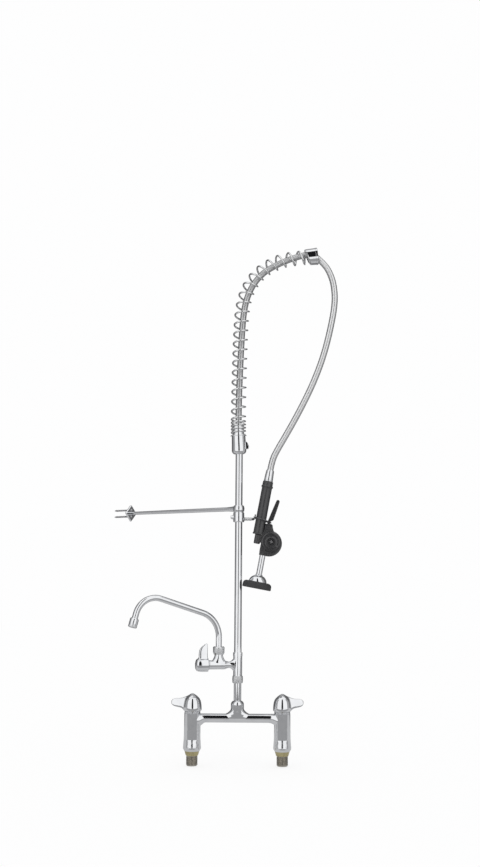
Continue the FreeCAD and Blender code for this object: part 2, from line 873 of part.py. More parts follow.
def bracket_set_screw():
    start = pipe_radius + running_gap
    screw = set_screw(start, bracket_ring_radius - start)
    return on_bracket(spun(screw, -90))


def wall_flange():
    reach = bracket_reach
    half = flange_half_diagonal
    corner = flange_corner
    diamond = slab([(half - corner, -corner), ((half - corner * 0.4, 0), (half - corner, corner)),
                    (corner, half - corner), ((0, half - corner * 0.4), (-corner, half - corner)),
                    (corner - half, corner), ((corner * 0.4 - half, 0), (corner - half, -corner)),
                    (-corner, corner - half), ((0, corner * 0.4 - half), (corner, corner - half))],
                   0, flange_thickness)
    plate = moved(spun(diamond, 90), Placement(Vector(reach, 0, 0), Rotation()))
    face = reach - flange_thickness
    socket = rod_x(bracket_arm_radius + thread_gap, face - over, face + flange_socket_depth)
    holes = [rod_x(wall_screw_radius + thread_gap, face - over, reach + over,
                   side * wall_screw_offset) for side in (-1, 1)]
    return on_bracket(carved(plate, [socket] + holes))


def wall_screws():
    head_start = bracket_reach - flange_thickness
    screws = []
    for side in (-1, 1):
        z = side * wall_screw_offset
        head = rod_x(wall_screw_head_radius, head_start - wall_screw_head_height, head_start, z)
        shank = rod_x(wall_screw_radius, head_start - wall_screw_head_height,
                      bracket_reach + wall_screw_length - wall_screw_radius * 2, z)
        point = Part.makeCone(wall_screw_radius, wall_screw_radius * 0.1, wall_screw_radius * 2,
                              Vector(bracket_reach + wall_screw_length - wall_screw_radius * 2, 0, z),
                              Vector(1, 0, 0))
        screws.append(on_bracket(head.fuse([shank, point]).removeSplitter()))
    return Part.makeCompound(screws)


def hook_clamp_top():
    return bracket_height - bracket_ring_height / 2 - part_gap


def hook_rod_height():
    return hook_clamp_top() - hook_rod_drop


def hook_clamp_low():
    return hook_clamp_top() - hook_clamp_height


def hook_clamp():
    low = hook_clamp_low()
    middle = (low + hook_clamp_top()) / 2
    edge = hook_clamp_radius * 0.1
    ring = turned([(0, low), (hook_clamp_radius - edge, low), (hook_clamp_radius, low + edge),
                   (hook_clamp_radius, hook_clamp_top() - edge),
                   (hook_clamp_radius - edge, hook_clamp_top()), (0, hook_clamp_top())])
    boss = Part.makeCone(hook_boss_radius, hook_boss_tip, hook_boss_reach - hook_clamp_radius / 2,
                         up(-hook_clamp_radius / 2, middle), Vector(-1, 0, 0))
    seat = rod_x(hook_rod_radius + hook_seat_wall, 0, hook_clamp_radius + edge, hook_rod_height())
    bore = rod(pipe_radius + thread_gap, low - over, hook_clamp_top() + over)
    screw_hole = rod_x(set_screw_radius + thread_gap, -hook_boss_reach - over, 0, middle)
    rod_hole = rod_x(hook_rod_radius + thread_gap, pipe_radius, hook_clamp_radius * 2,
                     hook_rod_height())
    return carved(ring.fuse([boss, seat]), [bore, screw_hole, rod_hole])


def clamp_set_screws():
    middle = (hook_clamp_low() + hook_clamp_top()) / 2
    start = pipe_radius + thread_gap
    hook_screw = spun(set_screw(start, hook_boss_reach - start), 180)
    lug_middle = (lug_bottom + lug_top) / 2 - lug_slope / 2
    lug_start = sleeve_radius + thread_gap * 2
    lug_screw = lifted(set_screw(lug_start, lug_reach - lug_start), 0, 0, lug_middle)
    return Part.makeCompound([lifted(hook_screw, 0, 0, middle), leaned(lug_screw)])


def ring_centre_z():
    # the ring's left end lies in the hook's valley
    drop = ring_radius * math.sin(math.radians(ring_tilt))
    return hook_rod_height() + hook_cover_radius + ring_wire_radius + part_gap - drop


def hook_valley():
    # where the ring hangs, measured along X
    return ring_centre_x - ring_radius * math.cos(math.radians(ring_tilt))


def finger_hook():
    # the rod and the thin finger that carries the tip's cover
    shank = rod_x(hook_rod_radius, pipe_radius + thread_gap * 2, hook_rod_end, hook_rod_height())
    route, bends = finger_route(hook_rod_end - over)
    finger = swept(bent(route, bends)[0], route[0], Vector(1, 0, 0), hook_pin_radius)
    return shank.fuse(finger).removeSplitter()


def finger_route(start):
    turn_x = hook_valley() + ring_wire_radius + part_gap + hook_tip_radius
    return [up(start, hook_rod_height()), up(turn_x, hook_rod_height()),
            up(turn_x, hook_rod_height() + hook_finger - hook_tip_radius)], [hook_bend]


def hook_tip_cover():
    route, bends = finger_route(hook_rod_end)
    outer = swept(bent(route, bends)[0], route[0], Vector(1, 0, 0), hook_tip_radius)
    valley = rod_x(hook_cover_radius, hook_rod_end, hook_rod_end + hook_cover_length,
                   hook_rod_height())
    end = Part.makeSphere(hook_tip_radius, route[-1])
    inner_route, inner_bends = finger_route(hook_rod_end - over)
    inner = swept(bent(inner_route, inner_bends)[0], inner_route[0], Vector(1, 0, 0),
                  hook_pin_radius + thread_gap / 2)
    return outer.fuse([valley, end]).cut(inner).removeSplitter()


def hold_open_ring():
    centre = up(ring_centre_x, ring_centre_z())
    ring = Part.makeTorus(ring_radius, ring_wire_radius, centre)
    return spun(ring, ring_tilt, centre, Vector(0, 1, 0))


# Collar, spring and hose

def spring_collar():
    rim_top = collar_top + rim_height
    outer = turned([(0, collar_bottom), (collar_bottom_radius, collar_bottom),
                    (collar_radius, collar_shoulder), (collar_top_radius, collar_top),
                    (rim_radius, collar_top), (rim_radius, rim_top), (0, rim_top)])
    lug = slab([(collar_radius * 0.75, lug_bottom), (lug_reach - lug_slope * 0.2, lug_bottom),
                (lug_reach, lug_bottom + lug_slope * 0.3),
                (lug_reach - lug_slope * 0.25, lug_top - lug_slope),
                (collar_top_radius * 0.85, lug_top)], -lug_half_width, lug_half_width)
    lug_middle = (lug_bottom + lug_top) / 2 - lug_slope / 2
    cavity = rod(sleeve_radius + thread_gap, riser_top + collar_web, rim_top + over)
    water = rod(pipe_bore, collar_bottom, rim_top)
    screw_hole = rod_x(set_screw_radius + thread_gap, 0, lug_reach + over, lug_middle)
    solid = leaned(carved(outer.fuse(lug), [cavity, water, screw_hole]))
    socket = rod(pipe_radius + thread_gap, collar_bottom - over, riser_top)
    return solid.cut(socket).removeSplitter()


def hose_sleeve():
    low = riser_top + collar_web
    edge = over / 2
    inner = hose_radius + thread_gap
    return leaned(turned([(inner, low), (sleeve_radius, low), (sleeve_radius, sleeve_top - edge),
                          (sleeve_radius - edge, sleeve_top), (inner, sleeve_top)]))


def leaned_point(z):
    turn = Placement(Vector(0, 0, 0), Rotation(Vector(0, 1, 0), -collar_lean), up(0, collar_bottom))
    return turn.multVec(up(0, z))


def spring_line():
    # the middle line of the coils: straight runs and tangent arcs, as samplers of place and direction
    seat = collar_top + rim_height + part_gap + spring_wire_radius
    points = [leaned_point(seat)] + [up(*p) for p in spring_route]
    return Part.Wire(bent(points, cord_radii(points))[0])


def sampler(wire):
    # place and direction at a distance along a wire
    edges = wire.OrderedEdges
    lengths = [e.Length for e in edges]

    def sample(distance):
        for edge, length in zip(edges, lengths):
            if distance <= length or edge is edges[-1]:
                at = edge.getParameterByLength(min(max(distance, 0), length))
                along = edge.tangentAt(at)
                return edge.valueAt(at) + along * max(distance - length, 0), along
            distance -= length
    return sample


def coil_point(sample, turn):
    # a point of the spring after a number of turns, and the distance that the turns have climbed
    distance = 0.0
    left = turn
    for turns, pitch in zip(spring_turn_counts, spring_pitches):
        step = min(max(left, 0), turns)
        distance += step * pitch
        left -= turns
    place, along = sample(distance)
    across = Vector(along.z, 0, -along.x)
    angle = 2 * math.pi * turn
    return place + across * (spring_coil_radius * math.cos(angle)) \
        + Vector(0, 1, 0) * (spring_coil_radius * math.sin(angle))


def coil_direction(sample, turn):
    # along the wire, from two points a small share of a turn apart
    apart_share = 0.002
    after = coil_point(sample, turn + apart_share)
    return (after - coil_point(sample, turn - apart_share)).normalize()


def biarc(start, leave, end, arrive):
    # two arcs that join two points with given directions
    chord = end - start
    both = leave + arrive
    spread = 2 * (1 - leave.dot(arrive))
    projected = chord.dot(both)
    reach = (math.sqrt(projected ** 2 + spread * chord.dot(chord)) - projected) / spread
    joint = (start + leave * reach + end - arrive * reach) * 0.5
    arcs = []
    for a, b, corner in ((start, joint, start + leave * reach), (joint, end, end - arrive * reach)):
        middle = (a + b) * 0.5
        half = a.distanceToPoint(b) / 2
        rise = middle.distanceToPoint(corner)
        radius = half * math.hypot(half, rise) / rise
        sagitta = radius - math.sqrt(max(radius ** 2 - half ** 2, 0))
        arcs.append(Part.Arc(a, middle + (corner - middle).normalize() * sagitta, b).toShape())
    return arcs


def overhead_spring():
    sample = sampler(spring_line())
    total = sum(spring_turn_counts)
    count = round(total * quarter_count)
    turns = [total * n / count for n in range(count + 1)]
    places = [coil_point(sample, t) for t in turns]
    directions = [coil_direction(sample, t) for t in turns]
    tail = spring_wire_radius * 2
    edges = [Part.LineSegment(places[0] - directions[0] * tail, places[0]).toShape()]
    for n in range(count):
        edges += biarc(places[n], directions[n], places[n + 1], directions[n + 1])
    edges.append(Part.LineSegment(places[-1], places[-1] + directions[-1] * tail).toShape())
    print_least_gap(sample, total)
    return swept(edges, places[0] - directions[0] * tail, directions[0], spring_wire_radius)


def print_least_gap(sample, total):
    # points further apart along the wire than half a turn, compared with each other
    steps = round(total * quarter_count * 4)
    points = [coil_point(sample, total * n / steps) for n in range(steps + 1)]
    apart = quarter_count * 2
    least = min(a.distanceToPoint(b) for i, a in enumerate(points) for b in points[i + apart:])
    print("overhead spring: least gap to itself", round(least - 2 * spring_wire_radius, 2), "mm")


def hose_inside_spring():
    points = [leaned_point(riser_top + collar_web), leaned_point(hose_lean_top)] \
        + [up(*p) for p in hose_held_route] + [up(*hose_exit)]
    length = bent(points, hose_held_bends)[1]
    print("hose inside the spring: length", round(length, 1), "mm")
    return piped(points, hose_held_bends, hose_radius, hose_bore)


def valve_point(x, z):
    turn = Placement(valve_top(), Rotation(Vector(0, 1, 0), valve_lean))
    return turn.multVec(up(x, z))


def free_hose_points():
    # the first run goes straight on from the held hose, and the last one straight into the ferrule
    leaving = (up(*hose_exit) - up(*hose_held_route[-1])).normalize()
    return [up(*hose_exit), up(*hose_exit) + leaving * hose_first_run] \
        + [up(*p) for p in hose_free_route] \
        + [valve_point(0, ferrule_length + hose_last_run), valve_point(0, ferrule_length)]


def spray_hose():
    points = free_hose_points()
    radii = cord_radii(points)
    length = bent(points, radii)[1]
    solid = piped(points, radii, hose_radius, hose_bore)
    section = math.pi * (hose_radius ** 2 - hose_bore ** 2)
    print("spray hose: radii", [round(r) for r in radii])
    print("spray hose: length", round(length, 1), "mm, volume over section times length",
          round(solid.Volume / (section * length), 4))
    return solid


def arch_end_cup():
    # a short cone with an inturned lip; the mouth is cut on a slant, longer on top
    wire = spring_line()
    place, along = sampler(wire)(wire.Length)
    low = -cup_start
    cone = turned([(cup_radius - cup_wall, low), (cup_radius, low), (cup_end_radius, 0),
                   (cup_end_radius - cup_lip, 0), (cup_end_radius - cup_lip, -cup_wall),
                   (cup_end_radius - cup_wall, -cup_wall)])
    slope = math.tan(math.radians(cup_slant))
    reach = cup_end_radius + over
    mouth = slab([(-reach, low - over), (reach, low - over), (reach, low + reach * slope),
                  (-reach, low - over)], -reach, reach)
    turn = Rotation(Vector(0, 1, 0), math.degrees(math.atan2(along.x, along.z)))
    return moved(cone.cut(mouth), Placement(place, turn))


# Spray valve, in its own frame

def hose_ferrule():
    step = ferrule_length * 0.08
    return on_valve(turned([(hose_bore, 0), (ferrule_radius, 0), (ferrule_radius, step),
                            (ferrule_top_radius, ferrule_length - step),
                            (ferrule_top_radius - step * 0.4, ferrule_length),
                            (hose_bore, ferrule_length)]))


def grip_tube():
    return on_valve(tube(grip_tube_radius, grip_tube_bore, -grip_length, 0))


def grip_sleeve():
    ridge_low = -grip_ridge_place - grip_ridge_height
    inner = grip_tube_radius + thread_gap
    collar_start = -grip_length + grip_collar_height
    return on_valve(turned([(inner, 0), (grip_top_radius, 0), (grip_top_radius, -grip_ridge_place * 0.8),
                            (grip_ridge_radius, -grip_ridge_place), (grip_ridge_radius, ridge_low),
                            (grip_radius, ridge_low - grip_ridge_height * 0.5),
                            (grip_low_radius, collar_start), (grip_collar_radius, collar_start),
                            (grip_collar_radius, -grip_length), (inner, -grip_length)]))


def spray_valve_body():
    inlet = rod(inlet_boss_radius, -grip_length - inlet_boss_length, -grip_length)
    disc = rod_y(disc_radius, -disc_front, disc_back, disc_x, -disc_z)
    reach = disc_radius + over
    disc = disc.cut(slab([(disc_x - reach, -disc_z - reach), (disc_flat_x, -disc_z - reach),
                          (disc_flat_x, -disc_z + reach), (disc_x - reach, -disc_z + reach)],
                         -disc_front - over, disc_back + over))
    outlet = rod(outlet_socket_radius, -outlet_socket_end, -disc_z, outlet_x)
    right = pin_x + lever_hub_radius
    neck = slab([(neck_back_x, -disc_z), (neck_back_x, -neck_top - lever_hub_radius),
                 (pin_x - lever_hub_radius, -neck_top), (pin_x, -neck_top), (right, -pin_z),
                 (right + neck_half_width * 0.6, -disc_z + disc_radius * 0.94), (disc_x, -disc_z)],
                -neck_half_width, neck_half_width)
    chamber_wall = rod(chamber_radius * 1.35, -disc_z, -chamber_top + chamber_radius, outlet_x)
    port_z = -(chamber_top + chamber_floor) / 2
    bridge = rod_x(inlet_boss_radius * 0.8, 0, outlet_x, port_z)
    solid = inlet.fuse([disc, outlet, neck, chamber_wall, bridge])
    slot_x = outlet_x - toe_radius - over * 2
    slot = slab([(slot_x, -neck_top + over), (right + over, -neck_top + over),
                 (right + over, -pin_z - lever_hub_radius - over * 2),
                 (slot_x, -pin_z - lever_hub_radius - over * 2)],
                -lever_root_half_width - part_gap, lever_root_half_width + part_gap)
    cuts = [rod(grip_collar_radius + part_gap, -grip_length, -neck_top + over), slot,
            rod_y(pin_radius + running_gap / 2, -neck_half_width - over, neck_half_width + over,
                  pin_x, -pin_z),
            rod(plunger_radius + running_gap, -chamber_floor, -pin_z, outlet_x),
            rod(chamber_radius, -chamber_floor, -chamber_top, outlet_x),
            rod(hose_bore, -grip_length - inlet_boss_length + inlet_boss_radius, -grip_length + over),
            rod_x(cartridge_port, 0, outlet_x, port_z),
            rod(outlet_tube_bore, -outlet_socket_end - over, -chamber_floor + over / 2, outlet_x),
            rod(outlet_tube_radius + thread_gap, -outlet_socket_end - over, -outlet_tube_top,
                outlet_x),
            rod_y(cover_screw_shank + thread_gap, -disc_front - over, 0, cover_x, -cover_z)]
    return on_valve(carved(solid, cuts))


def valve_cover():
    # a round lid with a raised ring round its screw
    profile = [(0, 0), (cover_radius, 0), (cover_radius - cover_height * 0.3, cover_height * 0.7),
               (cover_radius - cover_height, cover_height), (cover_ring_radius, cover_height),
               (cover_ring_radius - cover_ring_height, cover_height + cover_ring_height),
               (cover_recess_radius, cover_height + cover_ring_height),
               (cover_recess_radius - cover_ring_height, cover_height - cover_recess_depth),
               (0, cover_height - cover_recess_depth)]
    lid = turned(profile).cut(rod(cover_screw_shank + thread_gap, -over, cover_height + over))
    return on_cover(lid)


def on_cover(shape):
    # from a frame with +Z out of the disc's front face
    turn = Rotation(Vector(1, 0, 0), 90)
    return on_valve(moved(shape, Placement(Vector(cover_x, -disc_front, -cover_z), turn)))


def cover_screw():
    seat = cover_height - cover_recess_depth
    head = rod(cover_screw_radius, seat, seat + cover_screw_height)
    slot_half = cover_screw_height * 0.25
    slot = Part.makeBox(cover_screw_radius * 2 + over, slot_half * 2, cover_screw_height,
                        Vector(-cover_screw_radius - over / 2, -slot_half,
                               seat + cover_screw_height / 2))
    shank = rod(cover_screw_shank, -disc_front + cover_height, seat)
    return on_cover(head.cut(slot).fuse(shank).removeSplitter())


def squeeze_lever():
    tip_in = lever_tip_x - lever_tip_radius
    tip_out = lever_tip_x + lever_tip_radius
    root_in = lever_root_x - lever_root_thickness / 2
    root_out = lever_root_x + lever_root_thickness / 2
    toe_back = outlet_x - toe_radius
    arm = slab([(pin_x, -pin_z), (toe_back, -pin_z), (root_in, -lever_root_z), (tip_in, -lever_tip_z),
                ((lever_tip_x + lever_tip_radius * 0.15, -lever_tip_z + lever_tip_radius),
                 (tip_out, -lever_tip_z)), (lever_heel_x, -lever_root_z + lever_heel_rise),
                (root_out, -lever_root_z + lever_notch_rise),
                (root_out, -lever_root_z - toe_radius)], -lever_half_width, lever_half_width)
    keep_above = -lever_root_z + lever_tip_radius
    reach = lever_half_width + over
    waist = slab([(0, -pin_z - reach), (tip_out * 2, -pin_z - reach), (tip_out * 2, keep_above),
                  (0, keep_above)], lever_root_half_width, reach)
    arm = carved(arm, [waist, lifted(waist, 0, -lever_root_half_width - reach, 0)])
    hub = rod_y(lever_hub_radius, -lever_root_half_width, lever_root_half_width, pin_x, -pin_z)
    toe_z = -pin_z - toe_drop
    toe = rod_y(toe_radius, -lever_root_half_width, lever_root_half_width, outlet_x, toe_z)
    web = slab([(outlet_x, toe_z - toe_radius), (pin_x, toe_z - toe_radius), (pin_x, toe_z + toe_radius),
                (outlet_x, toe_z + toe_radius)], -lever_root_half_width, lever_root_half_width)
    hole = rod_y(pin_radius + running_gap, -reach, reach, pin_x, -pin_z)
    return on_valve(arm.fuse([hub, toe, web]).cut(hole).removeSplitter())


def lever_pin():
    return on_valve(rod_y(pin_radius, -neck_half_width, neck_half_width, pin_x, -pin_z))


def valve_plunger():
    top = -pin_z - toe_drop - toe_radius - disc_gap
    shaft = rod(plunger_radius, -plunger_end, top, outlet_x)
    head = rod(plunger_head_radius, -plunger_end, -plunger_end + plunger_head_height, outlet_x)
    return on_valve(shaft.fuse(head).removeSplitter())


def return_spring():
    top = -plunger_end - plunger_stroke - disc_gap
    return on_valve(tube(return_spring_radius, return_spring_bore, -chamber_floor, top, outlet_x))


def outlet_tube():
    return on_valve(tube(outlet_tube_radius, outlet_tube_bore, -outlet_tube_end, -outlet_tube_top,
                         outlet_x))


def on_face(shape):
    return on_valve(lifted(shape, outlet_x, 0, 0))


def spray_cup():
    inner = outlet_tube_radius + thread_gap
    wall = spray_cup_wall
    floor = -outlet_tube_end
    waist = -spray_cup_top - (spray_cup_low - spray_cup_top) * 0.42
    return on_face(turned([(inner, -spray_cup_top), (cup_neck_radius, -spray_cup_top),
                           ((spray_cup_radius * 0.78, waist), (spray_cup_radius, -spray_cup_low)),
                           (spray_cup_radius, -bumper_top - plate_recess),
                           (spray_cup_radius - wall, -bumper_top - plate_recess),
                           (spray_cup_radius - wall, -spray_cup_low),
                           (cup_neck_radius, floor - wall * 0.5), (inner, floor - wall * 0.5)]))


def rubber_bumper():
    inner = spray_cup_radius + thread_gap
    seat = -bumper_top - plate_recess
    low = -bumper_low
    middle = (bumper_top + bumper_low) / 2
    return on_face(turned([(inner, -bumper_top), (bumper_crown, -bumper_top),
                           ((bumper_radius * 0.955, -bumper_top - (middle - bumper_top) * 0.45),
                            (bumper_radius, -middle)),
                           (bumper_radius, low + (bumper_low - bumper_top) * 0.12),
                           (bumper_radius * 0.96, low), (bumper_opening, low),
                           (bumper_opening, seat), (inner, seat)]))


def spray_plate():
    radius = bumper_opening - thread_gap
    high = -bumper_top - plate_recess - part_gap
    low = high - plate_height
    solid = rod(radius, low, high)
    holes = []
    for count, circle in zip(jet_counts, jet_circle_radii):
        for n in range(count):
            holes.append(spun(rod(jet_radius, low - over, high + over, circle), 360 * n / count))
    return on_face(carved(solid, holes))


def parts():
    nodes = {"mixing_body": mixing_body(), "hot_inlet_shank": at_leg(-1, inlet_shank()),
             "cold_inlet_shank": at_leg(1, inlet_shank()),
             "locating_rings": Part.makeCompound([at_leg(side, locating_ring()) for side in (-1, 1)])}
    deck_handle = (deck_handle_radius, deck_handle_height, deck_handle_skirt, deck_lever_length,
                   deck_lever_shares)
    addon_handle = (addon_handle_radius, addon_handle_height, addon_handle_skirt, addon_lever_length,
                    addon_lever_shares)
    sets = (("hot", on_hot_leg, deck_bonnet_radius, deck_bonnet_height, deck_handle),
            ("cold", on_cold_leg, deck_bonnet_radius, deck_bonnet_height, deck_handle),
            ("addon", on_addon_seat, addon_bonnet_radius, addon_bonnet_height, addon_handle))
    nodes["cartridge_housings"] = Part.makeCompound([s[1](cartridge_housing()) for s in sets])
    nodes["fixed_ceramic_discs"] = Part.makeCompound([s[1](fixed_disc()) for s in sets])
    for name, seat, radius, height, sizes in sets:
        base = height + handle_gap
        nodes[name + "_bonnet"] = seat(bonnet(radius, height))
        nodes[name + "_moving_disc"] = seat(moving_disc())
        nodes[name + "_stem"] = seat(stem(base))
        nodes[name + "_handle"] = seat(lifted(handle(*sizes), 0, 0, base))
        nodes[name + "_handle_screw"] = seat(lifted(handle_screw(sizes[0]), 0, 0, base))
    for make in (riser_nipple, union_nut, addon_body, nozzle_nut, swing_nozzle, aerator_shell,
                 aerator_insert, riser_pipe, wall_bracket, wall_flange, wall_screws,
                 bracket_set_screw, hook_clamp, clamp_set_screws, finger_hook, hook_tip_cover,
                 hold_open_ring, spring_collar, hose_sleeve, overhead_spring, hose_inside_spring,
                 spray_hose, arch_end_cup, hose_ferrule, grip_tube, grip_sleeve, spray_valve_body,
                 valve_cover, cover_screw, squeeze_lever, lever_pin, valve_plunger, return_spring,
                 outlet_tube, spray_cup, rubber_bumper, spray_plate):
        nodes[make.__name__] = make()
    nodes["union_washer"] = washer()
    nodes["nozzle_packing"] = packing_ring()
    return nodes


os.makedirs("parts", exist_ok=True)
for node, shape in parts().items():
    solids = len(shape.Solids)
    print(node, "solids", solids, "valid", shape.isValid(), "volume", round(shape.Volume))
    shape.exportStep("parts/" + node + ".step")
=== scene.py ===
import bpy, bmesh, json, math
from mathutils import Matrix, Vector


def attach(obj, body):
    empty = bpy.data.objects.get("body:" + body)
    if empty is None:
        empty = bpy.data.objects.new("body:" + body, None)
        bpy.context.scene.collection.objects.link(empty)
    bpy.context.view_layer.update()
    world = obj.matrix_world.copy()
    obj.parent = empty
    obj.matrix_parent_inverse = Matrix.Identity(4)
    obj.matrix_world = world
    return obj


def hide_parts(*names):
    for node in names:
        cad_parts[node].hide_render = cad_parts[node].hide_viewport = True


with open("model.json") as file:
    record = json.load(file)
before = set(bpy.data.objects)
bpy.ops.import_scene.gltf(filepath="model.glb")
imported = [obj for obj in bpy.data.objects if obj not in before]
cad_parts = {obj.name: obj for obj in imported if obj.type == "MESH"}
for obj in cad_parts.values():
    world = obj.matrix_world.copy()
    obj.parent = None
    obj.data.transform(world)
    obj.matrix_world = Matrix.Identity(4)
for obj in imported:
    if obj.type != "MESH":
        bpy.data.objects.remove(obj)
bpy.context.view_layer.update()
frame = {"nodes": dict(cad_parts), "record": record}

scene = bpy.context.scene
scene.view_settings.view_transform = "Standard"
mm = 0.001
print("frame loaded:", len(frame["nodes"]), "nodes")

# The camera stands where the photographer's did.
cameraSetup = {"place": (0.00145, -2.332, 0.370), "tiltUp": 8.6, "roll": 0.414, "lens": 41.52,
               "sensor": 36, "clip": (0.05, 60)}


def makeCamera():
    data = bpy.data.cameras.new("photoCamera")
    data.lens = cameraSetup["lens"]
    data.sensor_width = cameraSetup["sensor"]
    camera = bpy.data.objects.new("photoCamera", data)
    scene.collection.objects.link(camera)
    turn = Matrix.Rotation(math.radians(90 + cameraSetup["tiltUp"]), 4, "X") \
        @ Matrix.Rotation(math.radians(cameraSetup["roll"]), 4, "Z")
    camera.matrix_world = Matrix.Translation(cameraSetup["place"]) @ turn
    data.clip_start, data.clip_end = cameraSetup["clip"]
    scene.camera = camera


makeCamera()
print("camera set")


# Places of the assemblies, from their own frames
def turnAbout(angle, axis, centre=(0, 0, 0)):
    return Matrix.Translation(centre) @ Matrix.Rotation(math.radians(angle), 4, axis) \
        @ Matrix.Translation(-Vector(centre))


def at(x=0, y=0, z=0):
    # a place in millimetres
    return Matrix.Translation((x * mm, y * mm, z * mm))


legPlace = {"hot": Matrix.Translation((-0.1016, 0, 0)), "cold": Matrix.Translation((0.1016, 0, 0))}
valveLean = 10.4
valvePlace = Matrix.Translation((0.0682, 0, 0.6092)) @ turnAbout(valveLean, "Y")
collarPlace = turnAbout(-2.5, "Y", (0, 0, 0.6727))
addonPlace = turnAbout(190, "Z")
barrelPlace = addonPlace @ Matrix(((0, 0, 1, 0.064), (0, -1, 0, 0), (1, 0, 0, 0.190), (0, 0, 0, 1)))
handlePlace = {"hot": legPlace["hot"] @ Matrix.Translation((0, 0, 0.083)) @ turnAbout(180, "Z"),
               "cold": legPlace["cold"] @ Matrix.Translation((0, 0, 0.083)), "addon": barrelPlace}
nozzlePlace = Matrix.Translation(addonPlace @ Vector((0.044, 0, 0))) @ turnAbout(205, "Z")
bracketPlace = Matrix.Translation((0, 0, 0.545)) @ turnAbout(146.5, "Z")
ontoX = turnAbout(90, "Y")                      # a piece turned up +Z is laid along +X
frontwards = turnAbout(90, "X")                 # a piece turned up +Z faces the user


# Making by hand: select, extrude, seat
weldGap = 0.000004                              # points nearer than this are merged


def nothingSelected():
    if bpy.context.object and bpy.context.object.mode != "OBJECT":
        bpy.ops.object.mode_set(mode="OBJECT")
    bpy.ops.object.select_all(action="DESELECT")


def only(piece):
    nothingSelected()
    piece.select_set(True)
    bpy.context.view_layer.objects.active = piece
    return piece


def seat(piece, place=Matrix()):
    # carries a piece to its place and bakes the place into its mesh
    only(piece)
    piece.matrix_world = place @ piece.matrix_world
    bpy.ops.object.transform_apply(location=True, rotation=True, scale=True)
    return piece


def opened(piece, kind=None, action="SELECT"):
    # a piece in edit mode, with all or nothing of it selected
    if piece.mode != "EDIT":
        only(piece)
        bpy.ops.object.mode_set(mode="EDIT")
    if kind:
        bpy.ops.mesh.select_mode(type=kind)
    bpy.ops.mesh.select_all(action=action)
    return bmesh.from_edit_mesh(piece.data)


def shut(piece):
    bpy.ops.object.mode_set(mode="OBJECT")
    return piece


def pulled(x=0, y=0, z=0):
    # extrudes what is selected, in millimetres
    bpy.ops.mesh.extrude_region_move(TRANSFORM_OT_translate={"value": (x * mm, y * mm, z * mm)})


def widened(grow, height):
    # scales what is selected across the Z axis, about a height in millimetres
    bpy.ops.transform.resize(value=(grow, grow, 1), center_override=(0, 0, height * mm))


def modifierDone(piece, kind, **values):
    only(piece)
    modifier = piece.modifiers.new(kind.lower(), kind)
    for key, value in values.items():
        setattr(modifier, key, value)
    bpy.ops.object.modifier_apply(modifier=modifier.name)
    return piece


def rounded(piece, width=0.25, segments=2, angle=28):
    return modifierDone(piece, "BEVEL", width=width * mm, segments=segments, limit_method="ANGLE",
                        angle_limit=math.radians(angle), use_clamp_overlap=True)


def smoothed(piece, angle=34):
    opened(piece)
    bpy.ops.mesh.remove_doubles(threshold=weldGap)
    bpy.ops.mesh.normals_make_consistent(inside=False)
    shut(piece)
    bpy.ops.object.shade_smooth_by_angle(angle=math.radians(angle))
    return piece


def edged(piece, edge, segments=2):
    # smooth shading, with small roundings at the corners where edge isn't 0
    smoothed(piece)
    if edge:
        smoothed(rounded(piece, edge, segments))
    return piece


def joined(name, pieces):
    only(pieces[0])
    for piece in pieces[1:]:
        piece.select_set(True)
    bpy.ops.object.join()
    pieces[0].name = name
    return pieces[0]


def spreadArcs(profile, steps=6):
    # a pair of points in a profile is an arc's middle and end
    points = []
    for item in profile:
        if not isinstance(item[0], tuple):
            points.append(Vector(item))
            continue
        start, middle, end = points[-1], Vector(item[0]), Vector(item[1])
        first, second = middle - start, end - start
        area = 2 * (first.x * second.y - first.y * second.x)
        centre = start + Vector((second.y * first.length_squared - first.y * second.length_squared,
                                 first.x * second.length_squared - second.x * first.length_squared)) / area
        angles = [math.atan2(p.y - centre.y, p.x - centre.x) for p in (start, middle, end)]
        sweep = (angles[2] - angles[0]) % (2 * math.pi)
        if (angles[1] - angles[0]) % (2 * math.pi) > sweep:
            sweep -= 2 * math.pi
        radius = (start - centre).length
        for n in range(1, steps + 1):
            angle = angles[0] + sweep * n / steps
            points.append(centre + Vector((math.cos(angle), math.sin(angle))) * radius)
    return points


def circle(name, sides, radius, filled=True, height=0):
    # the ring or disc that a piece starts from, in millimetres
    nothingSelected()
    bpy.ops.mesh.primitive_circle_add(vertices=sides, radius=radius * mm, location=(0, 0, height * mm),
                                      fill_type="NGON" if filled else "NOTHING")
    bpy.context.object.name = name
    return bpy.context.object


def turned(name, profile, sides=48, hollow=False, edge=0.25, arcSteps=6):
    # a ring is extruded from point to point of a (radius, height) profile in millimetres
    points = spreadArcs(profile, arcSteps)
    if hollow:
        points.append(points[0])
    piece = circle(name, sides, points[0].x, not hollow, points[0].y)
    opened(piece, "EDGE" if hollow else "FACE")
    for last, point in zip(points, points[1:]):
        pulled(z=point.y - last.y)
        if abs(point.x - last.x) > 0.0001:
            widened(point.x / last.x, point.y)
    return edged(seat(shut(piece)), edge)


def slab(name, outline, front, back, edge=0.4, segments=2):
    # an outline in the XZ plane, extruded from y = front to y = back, all in millimetres
    points = spreadArcs(outline, 8)
    piece = circle(name, len(points), 1)
    for vertex, point in zip(piece.data.vertices, points):
        vertex.co = (point.x * mm, front * mm, point.y * mm)
    opened(piece, "FACE")
    pulled(y=back - front)
    return edged(shut(piece), edge, segments)


def pickFaces(piece, wanted):
    # selects the faces whose middle and normal are wanted, and leaves the piece in edit mode
    mesh = opened(piece, "FACE", "DESELECT")
    for face in mesh.faces:
        face.select_set(wanted(face.calc_center_median(), face.normal))
    mesh.select_flush_mode()
    bmesh.update_edit_mesh(piece.data)


